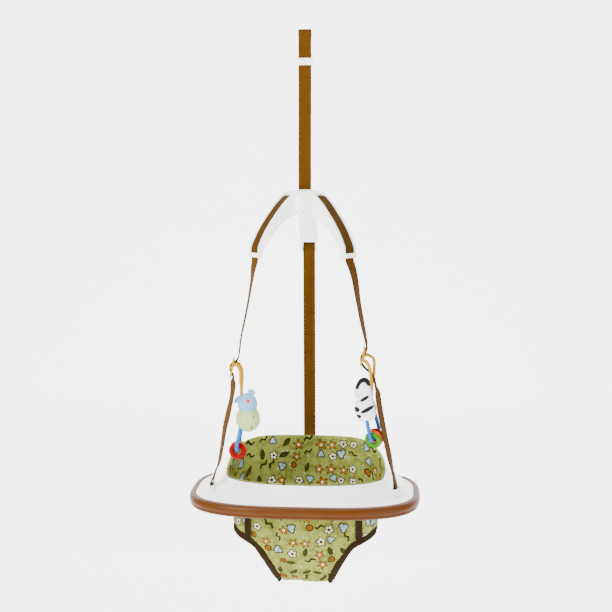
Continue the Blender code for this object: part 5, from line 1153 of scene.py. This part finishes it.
def bindingRoute(sign, clear):
    # the band's middle runs just inside the cut edge, from the side, down the front and up the back
    outline = legOutline()
    wall = seatShape["wall"]
    edge = []
    for index, (x, z) in enumerate(outline):
        before, after = outline[max(index - 1, 0)], outline[min(index + 1, len(outline) - 1)]
        along = Vector((after[0] - before[0], after[1] - before[1])).normalized()
        if x < seatSection(seatShare(z))[0] - wall / 2 and z > seatHeight(0.955):
            edge.append((x, z, -along.y, along.x))
    firstZ = edge[0][1]
    halfWidth, _, centreY, _ = seatSection(seatShare(firstZ))
    front, back = ([(sign * (x + outX * clear), seatSurface(x, z, face, wall / 2), z + outZ * clear)
                    for x, z, outX, outZ in edge] for face in (-1, 1))
    top = (sign * (halfWidth - wall / 2), centreY, firstZ - clear)
    bottom = (sign * (edge[-1][0] + clear), seatShape["bottomY"], seatHeight(1.0) + wall * 3.8)
    return [top] + front + [bottom] + list(reversed(back))


bandShape = {"width": 0.0210, "thickness": 0.0084, "sides": 20, "spacing": 0.003, "overlap": 0.0085,
             "tilt": 0.25, "depth": 0.08, "wave": 0.0010, "waveScale": 55, "square": 0.8}


def bindingPiece(side):
    sign = -1 if side == "left" else 1
    corners = bindingRoute(sign, bandShape["width"] / 2 - bandShape["overlap"])
    count = len(corners)
    points = []
    for index in range(count):
        before, start, finish, after = (Vector(corners[(index + step) % count]) for step in (-1, 0, 1, 2))
        steps = max(1, round((finish - start).length / bandShape["spacing"]))
        points += [Vector(curved(before, start, finish, after, step / steps)) for step in range(steps)]
    count = len(points)
    centre = sum(points, Vector()) / count
    rings, uvs, travelled = [], [], 0.0
    for index in range(count + 1):
        here = points[index % count]
        along = (points[(index + 1) % count] - points[index - 1]).normalized()
        # the band is wide in the plane of the cloth, which stands across the seat there
        away = Vector((sign * bandShape["tilt"], (here.y - centre.y) / bandShape["depth"], 0)).normalized()
        face = (away - along * away.dot(along)).normalized()
        flat = along.cross(face).normalized()
        if index:
            travelled += (here - points[index - 1]).length
        wave = noise.noise(here * bandShape["waveScale"]) * bandShape["wave"]
        ring, mapped = [], []
        for step in range(bandShape["sides"]):
            turn = math.tau * step / bandShape["sides"]
            across, thick = math.cos(turn), math.sin(turn)
            across = math.copysign(abs(across) ** bandShape["square"], across)
            ring.append(here + flat * (bandShape["width"] / 2 * across)
                        + face * (bandShape["thickness"] / 2 * thick + wave))
            mapped.append((bandShape["width"] * step / bandShape["sides"], travelled))
        mapped.append((bandShape["width"], travelled))
        rings.append(ring)
        uvs.append(mapped)
    mesh = gridMesh("legBand_" + side, rings[:-1], uvs, closedAround=True, looped=True)
    return newPiece("legBand_" + side, mesh, boundEdge, "tray", "binding", ["leg_binding_" + side], 60)


for side in ("left", "right"):
    bindingPiece(side)


def seatStrapPiece(side):
    sign, s = -1 if side == "left" else 1, seatStrapShape
    columns = [s["x"] + s["width"] * (across / s["steps"] - 0.5) for across in range(s["steps"] + 1)]
    rows, uvs = [], []
    for step in range(s["steps"] + 1):
        height = -mix(s["top"], s["bottom"], step / s["steps"])
        row = [Vector((sign * x, seatSurface(x, height, -1) - s["near"], height)) for x in columns]
        away = [point - Vector((0, s["thick"], 0)) for point in reversed(row)]
        rows.append(row + away)
        uvs.append([(point.x, -height) for point in row + away + row[:1]])
    mesh = gridMesh("seatStrap_" + side, rows, uvs, closedAround=True)
    return newPiece("seatStrap_" + side, mesh, boundEdge, "tray", "binding", ["seat_strap_" + side], 40)


for side in ("left", "right"):
    seatStrapPiece(side)


stitchShape = {"pitch": 0.0042, "length": 0.0029, "thickness": 0.0008, "seam": 0.074, "below": 0.035,
               "proud": 0.0004, "steps": 40}


def stitchTree(name):
    # one short stitch on every step of the path, turned along it
    tree, identifiers, given, path, realize = nodesTree(
        name, {"Pitch": "Float", "Length": "Float", "Thickness": "Float"})
    points = tree.nodes.new("GeometryNodeCurveToPoints")
    bead = tree.nodes.new("GeometryNodeMeshUVSphere")
    size = tree.nodes.new("ShaderNodeCombineXYZ")
    place = tree.nodes.new("GeometryNodeInstanceOnPoints")
    points.mode = "LENGTH"
    bead.inputs["Segments"].default_value = 8
    bead.inputs["Rings"].default_value = 6
    bead.inputs["Radius"].default_value = 0.5
    join(tree, [(path, "Geometry", points, "Curve"), (given, "Pitch", points, "Length"),
                (given, "Thickness", size, "X"), (given, "Thickness", size, "Y"),
                (given, "Length", size, "Z"),
                (points, "Points", place, "Points"), (points, "Rotation", place, "Rotation"),
                (bead, "Mesh", place, "Instance"), (size, "Vector", place, "Scale"),
                (place, "Instances", realize, "Geometry")])
    return tree, identifiers


stitchNodes = stitchTree("stitches")


def stitchPiece(name, points, body, slot):
    path = polyCurve(name + "Path", points, False)
    tree, identifiers = stitchNodes
    mesh = nodesMesh(name, tree, identifiers, {
        "Path": path, "Pitch": stitchShape["pitch"], "Length": stitchShape["length"],
        "Thickness": stitchShape["thickness"], "Finish": sewingThread})
    discard([path])
    return newPiece(name, mesh, sewingThread, body, slot, (), 60)


def seamPath(x):
    # down the front of the cloth below the tray, just proud of it
    points = []
    for step in range(stitchShape["steps"] + 1):
        height = -mix(trayShape["floor"], legCut["top"] + stitchShape["below"], step / stitchShape["steps"])
        place = settle(Vector((x, seatSurface(x, height, -1), height)), seatFolds)
        points.append(place - Vector((0, stitchShape["proud"], 0)))
    return points


for side, sign in (("left", -1), ("right", 1)):
    stitchPiece("frontSeam_" + side, seamPath(sign * stitchShape["seam"]), "tray", "binding")
print("seat made")


toyY = -0.075
clipShape = {"spread": 0.013, "arm": 0.0080, "bridge": 0.0060, "tab": 0.0052, "voxel": 0.0006, "relax": 4,
             "bridgeOffset": 0.0060 / 2 + standOff}
ringShape = {"outer": 0.0444, "hole": 0.0190, "thickness": 0.0096, "pitch": 0.0105, "tube": 0.0096,
             "count": 3, "steps": 72, "sides": 28}
leftArm = [(-0.1680, 0.2722), (-0.1600, 0.2767), (-0.1545, 0.2897), (-0.1540, 0.3137)]
toys = {
    "left": {"bridge": (-0.1810 + clipShape["bridgeOffset"], 0.2797),
             "frontArm": leftArm, "backArm": leftArm, "shaft": (-0.1540, 0.3637),
             "tab": [(-0.1703, 0.2552), (-0.1745, 0.2797), (-0.1793, 0.3010)],
             "loopCentre": (-0.1637, toyY, 0.4885), "loopBearing": 90, "loopClimb": 0,
             "loopEntry": [(-0.1560, 0.4327), (-0.1560, 0.4327)], "colours": ("red", "orange", "green")},
    "right": {"bridge": (0.1455 + clipShape["bridgeOffset"], 0.2567),
              "frontArm": [(0.1570, 0.2587), (0.1640, 0.2672), (0.1690, 0.2817), (0.1715, 0.3057)],
              "backArm": [(0.1570, 0.2467), (0.1710, 0.2517), (0.1785, 0.2637), (0.1770, 0.2997)],
              "shaft": (0.1728, 0.3567), "tab": [(0.1550, 0.2244), (0.1505, 0.2510), (0.1449, 0.2692)],
              "loopCentre": (0.1806, toyY + 0.0112, 0.4550), "loopBearing": 66, "loopClimb": 18,
              "loopEntry": [(0.1600, 0.4027), (0.1800, 0.3917)], "colours": ("green", "orange", "red")}}
ringFinishes = {"red": ringRed, "orange": ringOrange, "green": ringGreen}


def hung(x, y, drop):
    return Vector((x, y, -tops["bend"] - drop))


def tubeMesh(name, points, diameter, sides=20, ends=4):
    # a round bar along the points, with domed ends
    places = [Vector(point) for point in points]
    first = (places[0] - places[1]).normalized()
    last = (places[-1] - places[-2]).normalized()
    dome = [circlePoint(diameter / 2, 90 * step / ends) for step in range(1, ends)]
    rows = [(places[0] + first * along, radius) for radius, along in reversed(dome)]
    rows += [(place, diameter / 2) for place in places]
    rows += [(places[-1] + last * along, radius) for radius, along in dome]
    rings, normal = [], None
    for index, (here, radius) in enumerate(rows):
        along = (rows[min(index + 1, len(rows) - 1)][0] - rows[max(index - 1, 0)][0]).normalized()
        if normal is None:
            normal = along.orthogonal().normalized()
        normal = (normal - along * normal.dot(along)).normalized()
        other = along.cross(normal)
        turns = [math.tau * side / sides for side in range(sides)]
        rings.append([here + (normal * math.cos(turn) + other * math.sin(turn)) * radius for turn in turns])
    return gridMesh(name, rings, plainUvs(rings), closedAround=True)


def melted(name, meshes):
    # several closed shapes run together as moulded plastic
    build = bmesh.new()
    for mesh in meshes:
        build.from_mesh(mesh)
    piece = linked(name, meshFrom(build, name))
    remesh = piece.modifiers.new("remesh", "REMESH")
    remesh.mode = "VOXEL"
    remesh.voxel_size = clipShape["voxel"]
    relax = piece.modifiers.new("relax", "SMOOTH")
    relax.factor = 0.5
    relax.iterations = clipShape["relax"]
    return finalMesh(piece)


def clipPiece(side):
    toy = toys[side]
    front, back = toyY - clipShape["spread"], toyY + clipShape["spread"]
    bridgeX, bridgeDrop = toy["bridge"]
    shaftX, shaftDrop = toy["shaft"]
    mergeDrop = mix(toy["frontArm"][-1][1], shaftDrop, 0.35)
    meshes = []
    for key, y in (("frontArm", front), ("backArm", back)):
        places = [hung(x, y, drop) for x, drop in [toy["bridge"]] + toy[key]]
        places += [hung(shaftX, mix(y, toyY, 0.85), mergeDrop), hung(shaftX, toyY, shaftDrop)]
        meshes.append(tubeMesh(key, smoothRoute([tuple(place) for place in places], 0.002), clipShape["arm"]))
    overhang = clipShape["bridge"] * 0.2
    across = (front - overhang, toyY, back + overhang)
    meshes.append(tubeMesh("bridge", [hung(bridgeX, y, bridgeDrop) for y in across], clipShape["bridge"]))
    tab = [tuple(hung(x, front - clipShape["arm"] * 0.2, drop)) for x, drop in toy["tab"]]
    meshes.append(tubeMesh("tab", smoothRoute(tab, 0.002), clipShape["tab"]))
    mesh = melted("clip_" + side, meshes)
    return newPiece("clip_" + side, mesh, clipYellow, side + "_toy", "clip", ["toy_clip_" + side], 60)


def loopDirection(side):
    climb = math.radians(toys[side]["loopClimb"])
    flatWay = bearingVector(toys[side]["loopBearing"])
    return Vector((flatWay.x * math.cos(climb), flatWay.y * math.cos(climb), math.sin(climb)))


def loopPiece(side):
    toy, tube = toys[side], ringShape["tube"]
    centre, along = hung(*toy["loopCentre"]), loopDirection(side)
    reach = ringShape["pitch"] * ringShape["count"] / 2 + tube * 0.5
    frontEnd, backEnd = centre - along * reach, centre + along * reach
    (frontX, frontDrop), (backX, backDrop) = toy["loopEntry"]
    frontEntry, backEntry = hung(frontX, toyY - tube, frontDrop), hung(backX, toyY + tube, backDrop)
    up = Vector((0, 0, tube))
    route = [tuple(place) for place in (
        frontEntry, frontEntry.lerp(frontEnd + up, 0.5) - along * tube * 0.3,
        frontEnd + up - along * tube * 0.6, frontEnd, centre - along * ringShape["pitch"], centre,
        centre + along * ringShape["pitch"], backEnd,
        backEnd + up + along * tube * 0.6, backEntry.lerp(backEnd + up, 0.5) + along * tube * 0.3, backEntry)]
    mesh = tubeMesh("loop_" + side, smoothRoute(route, 0.0016), tube, 28)
    return newPiece("loop_" + side, mesh, loopBlue, side + "_toy", "loop", ["ring_loop_" + side], 60)


def ringPiece(side, index):
    colour, along = toys[side]["colours"][index], loopDirection(side)
    axis = hung(*toys[side]["loopCentre"])
    axis += along * ringShape["pitch"] * (index - (ringShape["count"] - 1) / 2)
    down = Vector((0, 0, -1))
    down = (down - along * down.dot(along)).normalized()
    outer, hole = ringShape["outer"], ringShape["hole"]
    hang = hole / 2 - ringShape["tube"] / 2 - clearance
    middle, section = (outer + hole) / 4, (outer - hole) / 4
    upright = along.to_track_quat("Z", "Y").to_matrix()
    rows = []
    for step in range(ringShape["steps"]):
        turn = math.tau * step / ringShape["steps"]
        outward = Vector((math.cos(turn), math.sin(turn), 0))
        row = []
        for part in range(ringShape["sides"]):
            small = math.tau * part / ringShape["sides"]
            lift = Vector((0, 0, ringShape["thickness"] / 2 * math.sin(small)))
            row.append(axis + down * hang + upright @ (outward * (middle + section * math.cos(small)) + lift))
        rows.append(row)
    name = "ring_" + colour + "_" + side
    mesh = gridMesh(name + "_smooth", rows, closedAround=True, looped=True)
    return newPiece(name + "_smooth", mesh, ringFinishes[colour], name, "ring_" + colour, [name], 60)


plushShape = {"around": 48, "down": 36, "fuzz": 0.05}


def eggMesh(name, centre, halfSizes, swell, lean):
    build = bmesh.new()
    bmesh.ops.create_uvsphere(build, u_segments=plushShape["around"], v_segments=plushShape["down"],
                              radius=1.0)
    for point in build.verts:
        fuller = 1 - swell * point.co.z
        place = Vector((point.co.x * fuller * halfSizes[0], point.co.y * fuller * halfSizes[1],
                        point.co.z * halfSizes[2]))
        place *= 1 + plushShape["fuzz"] * noise.noise(place * 60 + Vector(centre) * 40)
        point.co = place
    bmesh.ops.rotate(build, matrix=Matrix.Rotation(math.radians(lean), 3, "Y"), verts=build.verts)
    bmesh.ops.translate(build, vec=Vector(centre), verts=build.verts)
    return meshFrom(build, name)


plushKinds = {"blue": (hippoBlue, "left_toy"), "green": (hippoGreen, "left_toy"),
              "white": (zebraWhite, "right_toy"), "black": (maneBlack, "right_toy")}
# each row: colour, place across and below the keepers, half sizes, swell towards the bottom and lean
stuffed = {
    "hippo_head": ("blue", (-0.1388, 0.3722), (0.0246, 0.0228, 0.0265), 0.10, 0),
    "hippo_body": ("green", (-0.1378, 0.4110), (0.0312, 0.0248, 0.0342), 0.06, 0),
    "hippo_ear_inner": ("blue", (-0.1284, 0.3432), (0.0066, 0.0040, 0.0100), 0, -62),
    "hippo_ear_outer": ("blue", (-0.1624, 0.3622), (0.0056, 0.0038, 0.0135), 0, 44),
    "zebra_body": ("white", (0.1572, 0.3790), (0.0270, 0.0225, 0.0355), 0.12, -8),
    "zebra_head": ("white", (0.1550, 0.3400), (0.0205, 0.0185, 0.0330), 0.12, -8),
    "zebra_snout": ("white", (0.1385, 0.3410), (0.0105, 0.0105, 0.0125), 0, 10),
    "zebra_mane": ("black", (0.1500, 0.3125), (0.0135, 0.0050, 0.0065), 0, -25)}


def maneMesh(name):
    # a fat crest that runs up the brow and over the crown of the head, with an uneven pile
    crest = [(0.1392, 0.3300), (0.1405, 0.3235), (0.1440, 0.3160), (0.1495, 0.3100), (0.1555, 0.3085),
             (0.1605, 0.3115), (0.1635, 0.3175)]
    route = smoothRoute([tuple(hung(x, toyY - 0.004, drop)) for x, drop in crest], 0.0012)
    mesh = tubeMesh(name, route, 0.0140, 24, 6)
    for point in mesh.vertices:
        point.co += Vector((noise.noise(point.co * 500), 0, noise.noise(point.co * 430))) * 0.0010
    return mesh


def stuffedPiece(name):
    colour, (x, drop), halfSizes, swell, lean = stuffed[name]
    material, body = plushKinds[colour]
    y = toyY - 0.006 if name == "zebra_snout" else toyY
    if name == "zebra_mane":
        mesh = maneMesh(name + "_plush")
    else:
        mesh = eggMesh(name + "_plush", hung(x, y, drop), halfSizes, swell, lean)
    piece = newPiece(name + "_plush", mesh, material, body, "plush_" + colour, [name], 70)
    return piece


for side in ("left", "right"):
    clipPiece(side)
    loopPiece(side)
    for index in range(ringShape["count"]):
        ringPiece(side, index)
for name in stuffed:
    stuffedPiece(name)
print("toys made")


softening = {"weld": 0.00002, "flat": 1.5, "segments": 3, "angle": 30}


def softCopy(name, source, material, body, slot, bevel):
    # a copy of the CAD form with its sharp edges softened
    mesh = bpy.data.objects[source].data.copy()
    mesh.transform(bpy.data.objects[source].matrix_world)
    build = bmesh.new()
    build.from_mesh(mesh)
    bmesh.ops.remove_doubles(build, verts=build.verts, dist=softening["weld"])
    bmesh.ops.dissolve_limit(build, angle_limit=math.radians(softening["flat"]), verts=build.verts,
                             edges=build.edges)
    piece = linked(name, meshFrom(build, name))
    step = piece.modifiers.new("soften", "BEVEL")
    step.width = bevel
    step.segments = softening["segments"]
    step.limit_method = "ANGLE"
    step.angle_limit = math.radians(softening["angle"])
    step.use_clamp_overlap = True
    return newPiece(name, finalMesh(piece), material, body, slot, [source], 38)


softCopy("hangerBody", "hanger_shell", hangerWhite, "hanger", "white_plastic", 0.0009)
softCopy("adjusterBody", "height_adjuster", hangerWhite, "root", "white_plastic", 0.0003)
for side in ("left", "right", "back"):
    softCopy("keeperBody_" + side, "strap_keeper_" + side, hangerWhite, "hanger", "white_plastic", 0.0005)
    softCopy("anchorFrame_" + side, "strap_anchor_" + side, trayWhite, "tray", "white_plastic", 0.0006)
nodeFinishes = {"white_plastic": hangerWhite, "steel": plainSteel}
for part in frame["record"]["subparts"]:
    node = frame["nodes"][part["node"]]
    if part["material_slot"] in nodeFinishes and not node.hide_render:
        node.data.materials.clear()
        node.data.materials.append(nodeFinishes[part["material_slot"]])
print("hanger made")


# each row: place, power and size
lights = {"key": ((-1.6, -2.2, 0.6), 215, 1.3), "fill": ((2.2, -1.8, -0.6), 56, 2.0),
          "above": ((0.2, 0.4, 1.8), 80, 2.2)}
middle = Vector((0.0, 0.0, -0.8))
for name, (place, power, size) in lights.items():
    data = bpy.data.lights.new(name, "AREA")
    data.energy = power
    data.shape = "RECTANGLE"
    data.size = data.size_y = size
    made = linked(name, data)
    made.location = place
    made.rotation_euler = (middle - Vector(place)).to_track_quat("-Z", "Y").to_euler()

world = bpy.data.worlds.new("studio")
world.use_nodes = True
world.node_tree.nodes["Background"].inputs["Color"].default_value = (1, 1, 1, 1)
world.node_tree.nodes["Background"].inputs["Strength"].default_value = 0.85
scene.world = world


# a floor that bends up into a back wall
stageShape = {"front": -3.6, "back": 1.6, "floor": -1.95, "bend": 0.6, "top": 2.6, "halfWidth": 4}


def stagePiece():
    made = bpy.data.materials.new("paleStage")
    made.use_nodes = True
    shader = made.node_tree.nodes["Principled BSDF"]
    shader.inputs["Base Color"].default_value = paint(246, 246, 246)
    shader.inputs["Roughness"].default_value = 0.9
    shader.inputs["Emission Color"].default_value = (1, 1, 1, 1)
    shader.inputs["Emission Strength"].default_value = 2.2
    s = stageShape
    bend = [(s["back"] + y, s["floor"] + s["bend"] + z)
            for y, z in (circlePoint(s["bend"], turn) for turn in range(-80, 1, 10))]
    edge = [(s["front"], s["floor"]), (s["back"], s["floor"])] + bend + [(s["back"] + s["bend"], s["top"])]
    rows = [[Vector((x, y, z)) for x in (-s["halfWidth"], s["halfWidth"])] for y, z in edge]
    mesh = gridMesh("stage", rows, plainUvs(rows), closedAround=False)
    mesh.materials.append(made)
    mesh.shade_smooth()
    linked("stage", mesh)


stagePiece()
